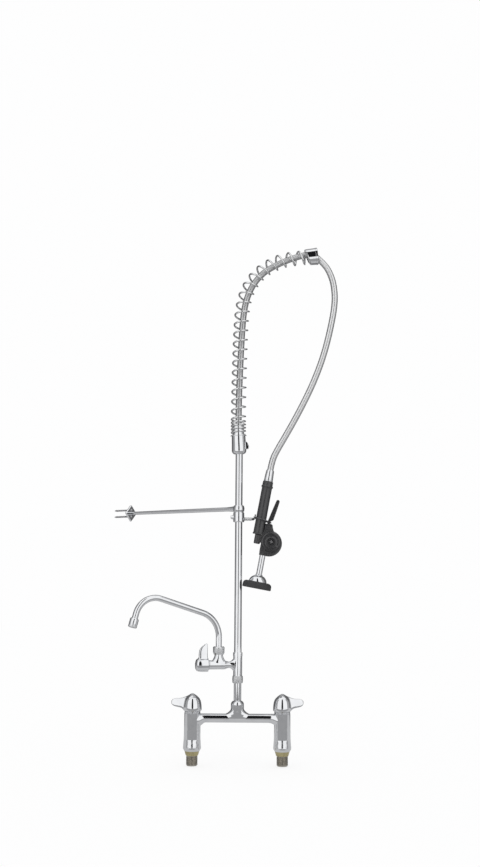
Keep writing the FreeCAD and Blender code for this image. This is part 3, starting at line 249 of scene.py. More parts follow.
def pickEdges(piece, wanted):
    # selects the edges that are wanted, and leaves the piece in edit mode
    mesh = opened(piece, "EDGE", "DESELECT")
    for link in mesh.edges:
        link.select_set(wanted(link))
    bmesh.update_edit_mesh(piece.data)


def atBorder(link):
    return len(link.link_faces) == 1


def fitSelection(middle, size):
    # moves and scales what is selected in edit mode to a box, in millimetres
    mesh = bmesh.from_edit_mesh(bpy.context.object.data)
    places = [v.co.copy() for v in mesh.verts if v.select]
    low = Vector([min(p[i] for p in places) for i in range(3)])
    high = Vector([max(p[i] for p in places) for i in range(3)])
    grow = [size[i] * mm / (high[i] - low[i]) if high[i] - low[i] > 1e-7 else 1 for i in range(3)]
    now = (low + high) / 2
    bpy.ops.transform.resize(value=grow, center_override=now)
    bpy.ops.transform.translate(value=Vector(middle) * mm - now)


def knurled(piece, low, high, depth=0.35, margin=0.22):
    # each face of a band is inset and raised by itself
    pickFaces(piece, lambda middle, normal: low * mm < middle.z < high * mm and abs(normal.z) < 0.5
              and normal.x * middle.x + normal.y * middle.y > 0)
    bpy.ops.mesh.inset(use_individual=True, thickness=margin * mm, depth=depth * mm)
    return shut(piece)


def fromMesh(name, mesh):
    # a new piece from a mesh built in code, its faces turned outwards
    bmesh.ops.recalc_face_normals(mesh, faces=mesh.faces)
    data = bpy.data.meshes.new(name)
    mesh.to_mesh(data)
    mesh.free()
    piece = bpy.data.objects.new(name, data)
    scene.collection.objects.link(piece)
    return piece


def tubeAlong(name, places, radii, sides=16, closed=False):
    # a round bar through the places; its radius may change from place to place
    count = len(places)
    if not isinstance(radii, (list, tuple)):
        radii = [radii] * count
    mesh = bmesh.new()
    rows = []
    across = None
    for n, place in enumerate(places):
        before = places[n - 1] if n or closed else places[0]
        after = places[(n + 1) % count] if n + 1 < count or closed else places[-1]
        along = (after - before).normalized()
        if across is None:
            across = along.orthogonal().normalized()
        across = (across - along * across.dot(along)).normalized()
        other = along.cross(across)
        rows.append([mesh.verts.new(place + (across * math.cos(a) + other * math.sin(a)) * radii[n])
                     for a in (2 * math.pi * j / sides for j in range(sides))])
    pairs = list(zip(rows, rows[1:]))
    if closed:
        pairs.append((rows[-1], rows[0]))
    else:
        mesh.faces.new(rows[0])
        mesh.faces.new(rows[-1])
    for row, after in pairs:
        for j in range(sides):
            k = (j + 1) % sides
            mesh.faces.new((row[j], row[k], after[k], after[j]))
    return smoothed(fromMesh(name, mesh), 50)


def straightRun(start, end, stride=0.02):
    # places along a straight run, without its first and with its last
    pieces = max(1, round((end - start).length / stride))
    return [start.lerp(end, n / pieces) for n in range(1, pieces + 1)]


def bentLine(points, radii, steps=14):
    # straight runs joined by tangent arcs, as places along the line
    places = [points[0]]
    for before, corner, after, radius in zip(points, points[1:], points[2:], radii):
        inward, outward = (before - corner).normalized(), (after - corner).normalized()
        half = (math.pi - inward.angle(outward)) / 2
        start = corner + inward * radius * math.tan(half)
        centre = corner + (inward + outward).normalized() * radius / math.cos(half)
        spoke = start - centre
        axis = (-inward).cross(outward).normalized()
        places += straightRun(places[-1], start)[:-1]
        places += [centre + Matrix.Rotation(2 * half * n / steps, 3, axis) @ spoke for n in range(steps + 1)]
    return places + straightRun(places[-1], points[-1])


def splinePlaces(points):
    # places along the smooth curve whose control points these are
    curve = bpy.data.curves.new("route", "CURVE")
    curve.dimensions = "3D"
    curve.resolution_u = 24
    spline = curve.splines.new("NURBS")
    spline.points.add(len(points) - 1)
    for control, point in zip(spline.points, points):
        control.co = (*point, 1)
    spline.order_u = 3
    spline.use_endpoint_u = True
    guide = bpy.data.objects.new("route", curve)
    scene.collection.objects.link(guide)
    mesh = bpy.data.meshes.new_from_object(guide)
    places = [v.co.copy() for v in mesh.vertices]
    bpy.data.objects.remove(guide)
    bpy.data.meshes.remove(mesh)
    bpy.data.curves.remove(curve)
    return places


def sampler(places):
    # place and direction at a distance along a line of places, and its length
    marks = [0.0]
    for a, b in zip(places, places[1:]):
        marks.append(marks[-1] + (b - a).length)
    ends = [places[0]] + places + [places[-1]]
    ways = [(ends[n + 2] - ends[n]).normalized() for n in range(len(places))]
    spot = [0]

    def sample(distance):
        distance = min(max(distance, 0), marks[-1])
        n = spot[0] if marks[spot[0]] <= distance else 0
        while n < len(marks) - 2 and marks[n + 1] < distance:
            n += 1
        spot[0] = n
        share = (distance - marks[n]) / (marks[n + 1] - marks[n])
        return places[n].lerp(places[n + 1], share), ways[n].lerp(ways[n + 1], share).normalized()
    return sample, marks[-1]


# Finishes. Groups give colours, masks and heights; the shader stays in each material.
def feed(tree, node, values):
    # gives a node's inputs numbers, colours or other nodes' outputs
    for label, value in values.items():
        if isinstance(value, bpy.types.NodeSocket):
            tree.links.new(value, node.inputs[label])
        else:
            node.inputs[label].default_value = value
    return node


def fed(tree, kind, values, output=0):
    # the output of a new node whose inputs are fed
    return feed(tree, tree.nodes.new("ShaderNode" + kind), values).outputs[output]


def mathNode(tree, operation, *values):
    result = fed(tree, "Math", dict(enumerate(values)))
    result.node.operation = operation
    return result


def noiseNode(tree, vector, scale, detail=3.0, roughness=0.55):
    return fed(tree, "TexNoise", {"Vector": vector, "Scale": scale, "Detail": detail, "Roughness": roughness})


def rangeNode(tree, value, low, high, toLow=0.0, toHigh=1.0):
    return fed(tree, "MapRange", {"Value": value, "From Min": low, "From Max": high, "To Min": toLow,
                                  "To Max": toHigh})


def onObject(tree):
    return fed(tree, "TexCoord", {}, "Object")


def handlingMarks(group, given):
    # water spots and wiping marks, sparse and soft, with a fine height
    where = onObject(group)
    spots = noiseNode(group, where, given["Spot Scale"], 4.0)
    return {"Spots": rangeNode(group, spots, 0.42, 0.72),
            "Fine": noiseNode(group, where, given["Fine Scale"], 2.0)}


def drawnLines(group, given):
    # fine lines round or along a drawn or machined surface
    stretch = fed(group, "CombineXYZ", {"X": given["Across"], "Y": given["Across"], "Z": given["Along"]})
    mapped = fed(group, "VectorMath", {0: onObject(group), 1: stretch})
    mapped.node.operation = "MULTIPLY"
    return {"Lines": noiseNode(group, mapped, 1.0)}


def wearAndCavityShade(group, given):
    # brighter where corners are rubbed, broken up by noise; and painted shade, darker in concave hollows
    point = fed(group, "NewGeometry", {}, "Pointiness")
    noise = noiseNode(group, onObject(group), given["Breakup"], 4.0)
    raised = mathNode(group, "MULTIPLY", mathNode(group, "SUBTRACT", point, given["Reach"]), 14.0)
    edge = mathNode(group, "MULTIPLY", raised, rangeNode(group, noise, 0.35, 0.6))
    return {"Worn": fed(group, "Clamp", {"Value": edge}), "Cavity Shade": rangeNode(group, point, 0.5, 0.44)}


def mouldGrain(group, given):
    # the fine pebbled skin of moulded plastic and rubber
    where = onObject(group)
    clouds = noiseNode(group, where, given["Cloud Scale"], 4.0)
    return {"Grain": fed(group, "TexVoronoi", {"Vector": where, "Scale": given["Grain Scale"]}, "Distance"),
            "Clouds": rangeNode(group, clouds, 0.35, 0.7)}


def windingLines(group, given):
    # the dark seam between the turns of a strip-wound hose, along its own UV map
    uv = fed(group, "UVMap", {})
    uv.node.uv_map = "wound"
    along = fed(group, "SeparateXYZ", {0: uv}).node.outputs
    turns = mathNode(group, "SUBTRACT", mathNode(group, "DIVIDE", along["Y"], given["Pitch"]), along["X"])
    phase = mathNode(group, "FRACT", turns)
    whole = fed(group, "CombineXYZ", {"X": mathNode(group, "FLOOR", turns)})
    return {"Seam": mathNode(group, "MULTIPLY", rangeNode(group, phase, 0.52, 0.68),
                             rangeNode(group, phase, 1.0, 0.88)),
            "Turn Tone": fed(group, "TexWhiteNoise", {"Vector": whole}, "Value")}


def makeGroup(name, build, inputs):
    # a shader group; build turns its inputs into its named outputs
    group = bpy.data.node_groups.new(name, "ShaderNodeTree")
    for label, value in inputs.items():
        socket = group.interface.new_socket(name=label, in_out="INPUT", socket_type="NodeSocketFloat")
        socket.default_value = value
    results = build(group, group.nodes.new("NodeGroupInput").outputs)
    for label in results:
        group.interface.new_socket(name=label, in_out="OUTPUT", socket_type="NodeSocketFloat")
    feed(group, group.nodes.new("NodeGroupOutput"), results)
    return group


effects = {"handlingMarks": (handlingMarks, {"Spot Scale": 120.0, "Fine Scale": 900.0}),
           "drawnLines": (drawnLines, {"Across": 30.0, "Along": 1500.0}),
           "wearAndCavityShade": (wearAndCavityShade, {"Reach": 0.52, "Breakup": 260.0}),
           "mouldGrain": (mouldGrain, {"Grain Scale": 1400.0, "Cloud Scale": 45.0}),
           "windingLines": (windingLines, {"Pitch": 0.0024})}
groups = {name: makeGroup(name, *effect) for name, effect in effects.items()}

# What a finish reads for its mask or its height: a group and one of its outputs
spots, fine = ("handlingMarks", "Spots"), ("handlingMarks", "Fine")
clouds, grain = ("mouldGrain", "Clouds"), ("mouldGrain", "Grain")
seam, turnTone = ("windingLines", "Seam"), ("windingLines", "Turn Tone")
lines = ("drawnLines", "Lines")

finishes = {
    "chrome": {"color": (0.885, 0.895, 0.91), "second": (0.83, 0.84, 0.86), "rough": (0.035, 0.085),
               "mask": spots, "height": fine, "bump": 0.012,
               "values": {"Spot Scale": 90.0, "Fine Scale": 700.0}},
    "castChrome": {"color": (0.885, 0.895, 0.91), "second": (0.82, 0.83, 0.85), "rough": (0.045, 0.1),
                   "mask": spots, "height": fine, "bump": 0.03,
                   "values": {"Spot Scale": 60.0, "Fine Scale": 260.0}},
    # painted shade: the hollows of the knurl are painted darker and made rougher
    "knurledChrome": {"color": (0.8, 0.81, 0.82), "second": (0.6, 0.61, 0.62), "rough": (0.12, 0.24),
                      "mask": ("wearAndCavityShade", "Cavity Shade"), "height": lines, "bump": 0.05,
                      "values": {"Reach": 0.52}},
    "steel": {"color": (0.58, 0.58, 0.59), "second": (0.47, 0.47, 0.48), "rough": (0.22, 0.36),
              "mask": lines, "height": lines, "bump": 0.06, "values": {"Across": 60.0, "Along": 1200.0}},
    "satin": {"color": (0.86, 0.865, 0.87), "second": (0.74, 0.745, 0.75), "rough": (0.42, 0.55),
              "mask": lines, "height": lines, "bump": 0.02, "values": {"Across": 500.0, "Along": 60.0}},
    # painted reflection: the chrome wire of the hold-open ring is painted dark, standing in for the black
    # grip that it reflects
    "steelPaintedAsReflection": {"color": (0.2, 0.2, 0.205), "second": (0.12, 0.12, 0.125), "rough": (0.14, 0.26),
                  "mask": lines, "height": lines, "bump": 0.03,
                  "values": {"Across": 500.0, "Along": 60.0}},
    "springSteel": {"color": (0.92, 0.925, 0.93), "second": (0.78, 0.785, 0.79), "rough": (0.1, 0.19),
                    "mask": lines, "height": lines, "bump": 0.03,
                    "values": {"Across": 700.0, "Along": 60.0}},
    # painted shade: a darker copy of hoseSteel for the hose inside the spring; its seams are dark joints, and
    # its crests and seams are painted darker still as the spring's shade
    "hoseInPaintedShade": {"color": (0.78, 0.785, 0.79), "second": (0.2, 0.2, 0.205), "rough": (0.14, 0.32),
                   "mask": seam, "height": turnTone, "bump": 0.0, "values": {"Pitch": 0.0024}},
    "hoseSteel": {"color": (0.93, 0.935, 0.94), "second": (0.62, 0.62, 0.625), "rough": (0.12, 0.3),
                  "mask": seam, "height": turnTone, "bump": 0.0, "values": {"Pitch": 0.0024}},
    "rawBrass": {"color": (0.62, 0.55, 0.3), "second": (0.45, 0.39, 0.22), "rough": (0.26, 0.42),
                 "mask": spots, "height": lines, "bump": 0.08,
                 "values": {"Spot Scale": 150.0, "Fine Scale": 900.0, "Across": 20.0, "Along": 2600.0}},
    "shankMetal": {"color": (0.52, 0.49, 0.43), "second": (0.36, 0.34, 0.3), "rough": (0.24, 0.4),
                   "mask": spots, "height": fine, "bump": 0.05,
                   "values": {"Spot Scale": 170.0, "Fine Scale": 1200.0}},
    "blackPlastic": {"color": (0.021, 0.021, 0.023), "second": (0.034, 0.034, 0.036), "metal": 0.0,
                     "rough": (0.24, 0.36), "specular": 0.85, "mask": clouds, "height": grain,
                     "bump": 0.12, "values": {"Grain Scale": 1500.0, "Cloud Scale": 40.0}},
    "wornPlastic": {"color": (0.021, 0.021, 0.023), "second": (0.075, 0.075, 0.078), "metal": 0.0,
                    "rough": (0.26, 0.38), "specular": 0.8, "mask": ("wearAndCavityShade", "Worn"), "height": grain,
                    "bump": 0.1, "values": {"Reach": 0.54, "Grain Scale": 1600.0, "Cloud Scale": 50.0}},
    "blackRubber": {"color": (0.03, 0.03, 0.032), "second": (0.045, 0.045, 0.047), "metal": 0.0,
                    "rough": (0.5, 0.68), "mask": clouds, "height": grain, "bump": 0.16,
                    "values": {"Grain Scale": 1100.0, "Cloud Scale": 60.0}},
    "ceramic": {"color": (0.86, 0.84, 0.79), "second": (0.8, 0.78, 0.73), "metal": 0.0,
                "rough": (0.22, 0.36), "mask": spots, "height": fine, "bump": 0.04,
                "values": {"Spot Scale": 200.0, "Fine Scale": 1500.0}},
}


def newMaterial(name, values):
    material = bpy.data.materials.new(name)
    material.use_nodes = True
    tree = material.node_tree
    return material, tree, feed(tree, tree.nodes["Principled BSDF"], values)


bumpDepth = 0.0004                              # how deep a full height reaches, in metres


def makeMaterial(name):
    finish = finishes[name]
    material, tree, shader = newMaterial(name, {"Metallic": finish.get("metal", 1.0),
                                                "Specular IOR Level": finish.get("specular", 0.5)})
    used = {}
    for key in ("mask", "height"):
        groupName = finish[key][0]
        if groupName not in used:
            node = tree.nodes.new("ShaderNodeGroup")
            node.node_tree = groups[groupName]
            used[groupName] = feed(tree, node, {label: value for label, value in finish["values"].items()
                                                if label in node.inputs})
    mask = used[finish["mask"][0]].outputs[finish["mask"][1]]
    height = used[finish["height"][0]].outputs[finish["height"][1]]
    mix = tree.nodes.new("ShaderNodeMix")
    mix.data_type = "RGBA"
    feed(tree, mix, {"Factor": mask, "A": (*finish["color"], 1), "B": (*finish["second"], 1)})
    feed(tree, shader, {"Base Color": mix.outputs["Result"],
                        "Roughness": rangeNode(tree, mask, 0.0, 1.0, *finish["rough"])})
    if finish["bump"]:
        bump = fed(tree, "Bump", {"Strength": finish["bump"], "Distance": bumpDepth, "Height": height})
        feed(tree, shader, {"Normal": bump})
    return material


materials = {name: makeMaterial(name) for name in finishes}
slotFinish = {"chrome": "chrome", "steel": "steel", "spring_steel": "springSteel", "hose_steel": "steel",
              "raw_brass": "rawBrass", "ceramic": "ceramic", "black_plastic": "blackPlastic",
              "black_rubber": "blackRubber", "seal": "blackRubber"}
nodeFinish = {"mixing_body": "castChrome", "addon_body": "castChrome"}
for part in frame["record"]["subparts"]:
    node = frame["nodes"][part["node"]]
    for slot in node.material_slots:
        slot.material = materials[nodeFinish.get(part["node"], slotFinish[part["material_slot"]])]
print("materials given to the CAD nodes")


def dress(piece, finish, body, *nodes):
    # gives a piece its finish, its body and the CAD nodes that it stands for
    piece.data.materials.clear()
    piece.data.materials.append(materials[finish])
    for face in piece.data.polygons:
        face.material_index = 0
    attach(piece, body)
    if nodes:
        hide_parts(*nodes)
    return piece


# Hoses: the free one hangs from the arch's end to the spray valve, the other one is held in the spring.
hoseShape = {"radius": 7.5, "groove": 7.22, "pitch": 0.0024, "sides": 26, "crestShare": 0.62,
             "grooveShares": (0.72, 0.88)}
freeRoute = [(0.187, 0, 1.1526), (0.2026, 0, 1.13854), (0.2158, 0, 1.1174), (0.2255, 0, 1.0869),
             (0.2283, 0, 1.041), (0.2145, 0, 0.968), (0.197, 0, 0.903), (0.1735, 0, 0.842),
             (0.145, 0, 0.783), (0.1145, 0, 0.727), (0.089, 0, 0.6835), (0.07744, 0, 0.65956),
             (0.07311, 0, 0.63595)]
heldRoute = [collarPlace @ Vector((0, 0, 0.6905)), collarPlace @ Vector((0, 0, 0.758)),
             (0.0034, 0, 0.955), (0.0095, 0, 1.032), (0.0256, 0, 1.0796), (0.054, 0, 1.116),
             (0.093, 0, 1.139), (0.136, 0, 1.1565), (0.1738, 0, 1.1645), (0.187, 0, 1.1526)]


def makeHose(name, places):
    # ribs wind round the line like the turns of the strip
    sample, length = sampler(places)
    sides, pitch = hoseShape["sides"], hoseShape["pitch"]
    steps = [(0.0, "radius"), (hoseShape["crestShare"], "radius")]
    steps += [(share, "groove") for share in hoseShape["grooveShares"]]
    mesh = bmesh.new()
    layer = mesh.loops.layers.uv.new("wound")
    rows = []
    for turn in range(-1, int(length / pitch) + 2):
        for share, kind in steps:
            row = []
            for j in range(sides):
                wanted = (turn + share + j / sides) * pitch
                distance = min(max(wanted, 0), length)
                place, along = sample(distance)
                radius = hoseShape[kind if wanted == distance else "groove"] * mm
                across = Vector((along.z, 0, -along.x))
                angle = 2 * math.pi * j / sides
                spot = place + (across * math.cos(angle) + Vector((0, 1, 0)) * math.sin(angle)) * radius
                row.append((mesh.verts.new(spot), j / sides, distance))
            rows.append(row)
    for n in range(len(rows) - len(steps) - 1):
        for j in range(sides):
            near, far = rows[n], rows[n + 1]
            if j + 1 < sides:
                corners = (near[j], near[j + 1], far[j + 1], far[j])
            else:
                corners = (near[j], rows[n + len(steps)][0], rows[n + len(steps) + 1][0], far[j])
            face = mesh.faces.new([c[0] for c in corners])
            for loop, corner, extra in zip(face.loops, corners, (0, 1, 1, 0)):
                u = 1.0 if j + 1 == sides and extra else corner[1]
                loop[layer].uv = (u, corner[2])
    bmesh.ops.remove_doubles(mesh, verts=mesh.verts, dist=0.000002)
    loose = [v for v in mesh.verts if not v.link_faces]
    bmesh.ops.delete(mesh, geom=loose, context="VERTS")
    bmesh.ops.holes_fill(mesh, edges=[e for e in mesh.edges if len(e.link_faces) == 1], sides=0)
    piece = only(fromMesh(name, mesh))
    bpy.ops.object.shade_smooth_by_angle(angle=math.radians(60))
    return piece


freePlaces = splinePlaces(freeRoute)
sprayHose = dress(makeHose("sprayHose", freePlaces), "hoseSteel", "faucet", "spray_hose")
dress(makeHose("hoseInSpring", splinePlaces(heldRoute)), "hoseInPaintedShade", "faucet", "hose_inside_spring")
freeLength = sampler(freePlaces)[1]
print("hoses made, the free one", round(freeLength * 1000, 1), "mm long")

# Overhead spring: close turns on the collar, open ones over the arch
springShape = {"wire": 2.3, "coil": 16.1, "seat": 720.6, "turns": (4.5, 0.5, 10, 10, 1, 0.75),
               "pitches": (7.8, 16.0, 23.3, 24.4, 14.0, 8.0), "perTurn": 30, "sides": 12,
               "taper": (0.55, 0.9),
               "route": ((-0.0032, 0.765), (0.0006, 0.96), (0.0055, 1.036), (0.0224, 1.0853),
                         (0.0519, 1.121), (0.095, 1.1452), (0.1316, 1.1522), (0.186, 1.1582))}


def springLine():
    points = [collarPlace @ Vector((0, 0, springShape["seat"] * mm))]
    points += [Vector((x, 0, z)) for x, z in springShape["route"]]
    return splinePlaces(points)


def makeSpring():
    sample, length = sampler(springLine())
    total = sum(springShape["turns"])
    climbed = sum(t * p for t, p in zip(springShape["turns"], springShape["pitches"])) * mm
    count = round(total * springShape["perTurn"])
    places = []
    for n in range(count + 1):
        turn = total * n / count
        left, distance = turn, 0.0
        for turns, pitch in zip(springShape["turns"], springShape["pitches"]):
            distance += min(max(left, 0), turns) * pitch * mm
            left -= turns
        place, along = sample(distance * min(1, length / climbed))
        across = Vector((along.z, 0, -along.x))
        angle = 2 * math.pi * turn
        coil = springShape["coil"] * mm
        places.append(place + across * coil * math.cos(angle) + Vector((0, coil * math.sin(angle), 0)))
    wire = springShape["wire"] * mm
    ends = [wire * share for share in springShape["taper"]]
    radii = ends + [wire] * (len(places) - 4) + ends[::-1]
    return tubeAlong("overheadSpring", places, radii, springShape["sides"])


dress(makeSpring(), "springSteel", "faucet", "overhead_spring")
print("overhead spring wound")

# Studio: a white room with a dark opening behind the camera and grey sides
studio = {"wall": (0.99, 0.99, 0.992), "white": 1.0, "floorZ": -0.0335, "floorSize": 14.0,
          "floorColor": (0.96, 0.96, 0.965), "floorGlow": 0.8}


def plainMaterial(name, color):
    return newMaterial(name, {"Base Color": (0, 0, 0, 1), "Roughness": 1.0, "Specular IOR Level": 0.0,
                              "Emission Color": (*color, 1), "Emission Strength": 1.0})[0]


def makeFloor():
    bpy.ops.mesh.primitive_plane_add(size=studio["floorSize"], location=(0, 0, studio["floorZ"]))
    floor = bpy.context.object
    floor.name = "floor"
    material, tree, shader = newMaterial("floorPale", {"Base Color": (*studio["floorColor"], 1),
                                                       "Roughness": 0.9, "Specular IOR Level": 0.0})
    glow = fed(tree, "Emission", {"Color": (1, 1, 1, 1)})
    rays = tree.nodes.new("ShaderNodeLightPath").outputs
    seen = mathNode(tree, "MAXIMUM", rays["Is Camera Ray"], rays["Is Glossy Ray"])
    seen = mathNode(tree, "MAXIMUM", seen, rays["Is Transmission Ray"])
    share = mathNode(tree, "MULTIPLY", seen, studio["floorGlow"])
    feed(tree, tree.nodes["Material Output"],
         {"Surface": fed(tree, "MixShader", {0: share, 1: shader.outputs[0], 2: glow})})
    floor.data.materials.append(material)


def makeCard(name, corners, color):
    # a plain card that only reflections see
    nothingSelected()
    bpy.ops.mesh.primitive_plane_add(size=1)
    card = bpy.context.object
    card.name = name
    for vertex, corner in zip(card.data.vertices, corners):
        vertex.co = corner
    card.data.materials.append(plainMaterial(name + "Card", color))
    for ray in ("camera", "diffuse", "shadow", "transmission"):
        setattr(card, "visible_" + ray, False)


def sideCorners(start, end, reach, low, high):
    # an upright card between two directions, counted from the camera's side
    places = [(math.sin(math.radians(a)) * reach, -math.cos(math.radians(a)) * reach) for a in (start, end)]
    return [(*places[0], low), (*places[1], low), (*places[0], high), (*places[1], high)]


world = bpy.data.worlds.new("studioWorld")
scene.world = world
world.use_nodes = True
feed(world.node_tree, world.node_tree.nodes["Background"],
     {"Color": (*studio["wall"], 1), "Strength": studio["white"]})
makeFloor()
tableLevel = -0.033                             # a reflected table, seen by nothing else


def tableCorners(left, right, front, back):
    return [(left, front, tableLevel), (right, front, tableLevel), (left, back, tableLevel),
            (right, back, tableLevel)]


cards = {
    "openingBehindCamera": (sideCorners(-11, 11, 4.2, -0.02, 9.5), (0.012, 0.012, 0.013)),
    "greyRight": (sideCorners(66, 100, 4.0, -0.02, 5.0), (0.36, 0.36, 0.365)),
    "greyLeft": (sideCorners(-66, -100, 4.0, -0.02, 5.0), (0.36, 0.36, 0.365)),
    "darkRight": (sideCorners(100, 160, 3.6, -0.02, 5.0), (0.13, 0.13, 0.132)),
    "darkLeft": (sideCorners(-100, -160, 3.6, -0.02, 5.0), (0.13, 0.13, 0.132)),
    "tableFront": (tableCorners(-3.5, 3.5, -1.3, -0.22), (0.33, 0.33, 0.335)),
    "tableMiddle": (tableCorners(-3.5, 3.5, -0.22, 0.5), (0.52, 0.52, 0.525)),
    "tableBack": (tableCorners(-3.5, 3.5, 0.5, 4.0), (0.2, 0.2, 0.205)),
    "floorStrip": (tableCorners(-0.3, 0.3, -4.2, -1.3), (0.03, 0.03, 0.031)),
    "ceilingBack": ([(-3.5, 0.5, 4.5), (3.5, 0.5, 4.5), (-3.5, 6.0, 4.5), (3.5, 6.0, 4.5)],
                    (0.36, 0.36, 0.365)),
}
for name, (corners, color) in cards.items():
    makeCard(name, corners, color)
print("studio set")

# Deck shanks: a plain neck, a cut thread and an open end, with a brass ring under each leg
shankShape = {"radius": 13.0, "bore": 8.5, "low": -32.0, "neck": 12.7, "threadTop": -10.6, "top": 8.9,
              "pitch": 1.8, "depth": 0.75}
toothShares = (0.42, 0.58)                      # where a thread's crest starts and ends in its pitch


def makeThread(name, outer, depth, pitch, low, high, steps=40):
    # the profile of one tooth is screwed up the length of the thread
    piece = circle(name, 4, 1, False)
    inner = outer - depth
    tooth = ((inner, 0.0), (outer, pitch * toothShares[0]), (outer, pitch * toothShares[1]), (inner, pitch))
    for vertex, (radius, height) in zip(piece.data.vertices, tooth):
        vertex.co = (radius * mm, 0, (low + height) * mm)
    pickEdges(piece, lambda link: abs(link.verts[0].co.z - link.verts[1].co.z) > pitch * 0.9 * mm)
    bpy.ops.mesh.delete(type="EDGE")
    turns = max(1, int((high - low) / pitch) - 1)
    modifierDone(shut(piece), "SCREW", steps=steps, render_steps=steps, screw_offset=pitch * mm,
                 iterations=turns, use_merge_vertices=True, merge_threshold=0.00001)
    return smoothed(piece, 40)


def makeShank(side):
    s = shankShape
    bore, low, top, root = s["bore"], s["low"], s["threadTop"], s["radius"] - s["depth"]
    core = turned(side + "Core", [(bore, low), (s["radius"] - 1.4, low), (root, low + 1.4), (root, top),
                                  (s["neck"], top + 0.1), (s["neck"], s["top"]), (bore, s["top"])],
                  56, hollow=True, edge=0.15)
    thread = makeThread(side + "Thread", s["radius"], s["depth"] + 0.15, s["pitch"], low + 1.2, top)
    return seat(joined(side + "InletShank", [core, thread]), legPlace[side])


ringShape = {"bore": 12.8, "low": 14.2, "top": 16.6, "height": 10.0}


def makeLocatingRing(side):
    r = ringShape
    bore, low, top, foot = r["bore"], r["low"], r["top"], -r["height"]
    ring = turned(side + "LocatingRing", [(bore, foot), (low - 0.8, foot), (low, foot + 0.8),
                                          (top - 0.5, -2.2), (top, -1.2), (top, 0), (bore, 0)],
                  56, hollow=True, edge=0.25)
    return seat(ring, legPlace[side])


for side in ("hot", "cold"):
    dress(makeShank(side), "shankMetal", "faucet", side + "_inlet_shank")
ringPair = joined("locatingRings", [makeLocatingRing("hot"), makeLocatingRing("cold")])
dress(ringPair, "rawBrass", "faucet", "locating_rings")
print("shanks made")

# Lever handles: a domed hub whose side is drawn out into a blade, smoothed by subdivision
deckHandle = {"radius": 20.8, "rings": ((0.0, 20.0), (0.9, 20.5), (5.0, 20.9), (12.0, 20.4), (22.0, 18.9),
                                        (27.8, 16.2), (33.4, 10.4), (37.4, 4.6)),
              "top": 39.0, "blade": (0.4, 30.8), "half": 24, "sides": 16,
              "stations": ((22.5, (5.4, 28.8), 16.0), (28.5, (7.4, 27.6), 12.6), (35.0, (8.4, 27.4), 10.4),
                           (41.0, (9.6, 27.2), 9.2), (46.0, (12.6, 24.6), 8.2), (48.1, (15.8, 21.4), 5.2)),
              "recess": 2.4, "recessDepth": 3.2, "low": 4.7}
addonHandle = {"radius": 15.4, "rings": ((0.0, 14.9), (0.8, 15.3), (8.0, 15.5), (16.0, 15.4), (22.0, 14.9),
                                         (26.6, 13.4), (28.8, 9.5), (29.4, 5.0)),
               "top": 29.5, "blade": (0.4, 22.4), "half": 24, "sides": 16,
               "stations": ((19.5, (1.4, 21.4), 12.6), (26.0, (1.4, 21.4), 10.4), (33.5, (1.4, 20.6), 9.2),
                            (40.5, (1.4, 15.6), 8.8), (45.6, (1.6, 8.6), 8.0), (47.4, (2.4, 5.4), 4.8)),
               "recess": 2.2, "recessDepth": 3.2, "low": 4.1}
cage = 0.975                                    # how far a subdivided ring shrinks from its cage


def makeHandle(name, shape):
    last, *rings = shape["rings"]
    piece = circle(name, shape["sides"], last[1] / cage, False)
    opened(piece, "EDGE")
    for height, radius in rings:
        pulled(z=height - last[0])
        widened(radius / last[1], height)
        last = (height, radius)
    pulled(z=shape["top"] - last[0])
    bpy.ops.mesh.merge(type="CENTER")
    smoothed(seat(shut(piece)))
    # the blade grows out of the side
    reach = math.cos(math.radians(shape["half"]))
    low, high = shape["blade"]
    pickFaces(piece, lambda middle, normal: low * mm < middle.z < high * mm
              and middle.x > reach * middle.xy.length and middle.xy.length > 4 * mm)
    for x, (bottom, top), width in shape["stations"]:
        pulled(x=4)
        fitSelection((x, 0, (bottom + top) / 2), (0.001, width, top - bottom))
    # the open foot gets a wall and a recess
    pickEdges(piece, atBorder)
    pulled()
    widened(1 - shape["recess"] / shape["radius"], 0)
    pulled(z=shape["recessDepth"])
    bpy.ops.mesh.edge_face_add()
    modifierDone(smoothed(shut(piece)), "SUBSURF", levels=3, render_levels=3)
    return smoothed(piece, 60)


def seatHandle(side, shape):
    piece = seat(makeHandle(side + "Handle", shape), handlePlace[side] @ at(z=shape["low"]))
    return dress(piece, "chrome", side + "_valve", side + "_handle")


for side, shape in (("hot", deckHandle), ("cold", deckHandle), ("addon", addonHandle)):
    seatHandle(side, shape)
print("handles made")

# Bonnets under the handles, with a step and a small bead
bonnetShape = {"deck": {"radius": 18.2, "height": 4.2}, "addon": {"radius": 10.8, "height": 3.6},
               "bore": 3.7, "skirt": 8.2, "foot": -9.0}


def makeBonnet(side, kind):
    r, h = bonnetShape[kind]["radius"], bonnetShape[kind]["height"]
    bore, skirt, foot = bonnetShape["bore"], bonnetShape["skirt"], bonnetShape["foot"]
    piece = turned(side + "Bonnet", [(bore, foot), (skirt, foot), (skirt, 0), (r - 0.3, 0), (r, 0.4),
                                     (r, h * 0.5), (r - 0.5, h * 0.56), (r - 0.5, h * 0.66), (r, h * 0.72),
                                     (r, h - 0.6), (r - 0.6, h), (bore, h)], 56, hollow=True, edge=0.12)
    return dress(seat(piece, handlePlace[side]), "chrome", "faucet", side + "_bonnet")


for side, kind in (("hot", "deck"), ("cold", "deck"), ("addon", "addon")):
    makeBonnet(side, kind)

# Pipes and the union under the add-on faucet
pipeShape = {"radius": 8.55, "bore": 6.25}
riserHole = 8.65                                # the bore of what stands round the riser


def makePipe(name, low, high):
    bore, radius = pipeShape["bore"], pipeShape["radius"]
    return turned(name, [(bore, low), (radius - 0.3, low), (radius, low + 0.3), (radius, high - 0.3),
                         (radius - 0.3, high), (bore, high)], 64, hollow=True, edge=0)


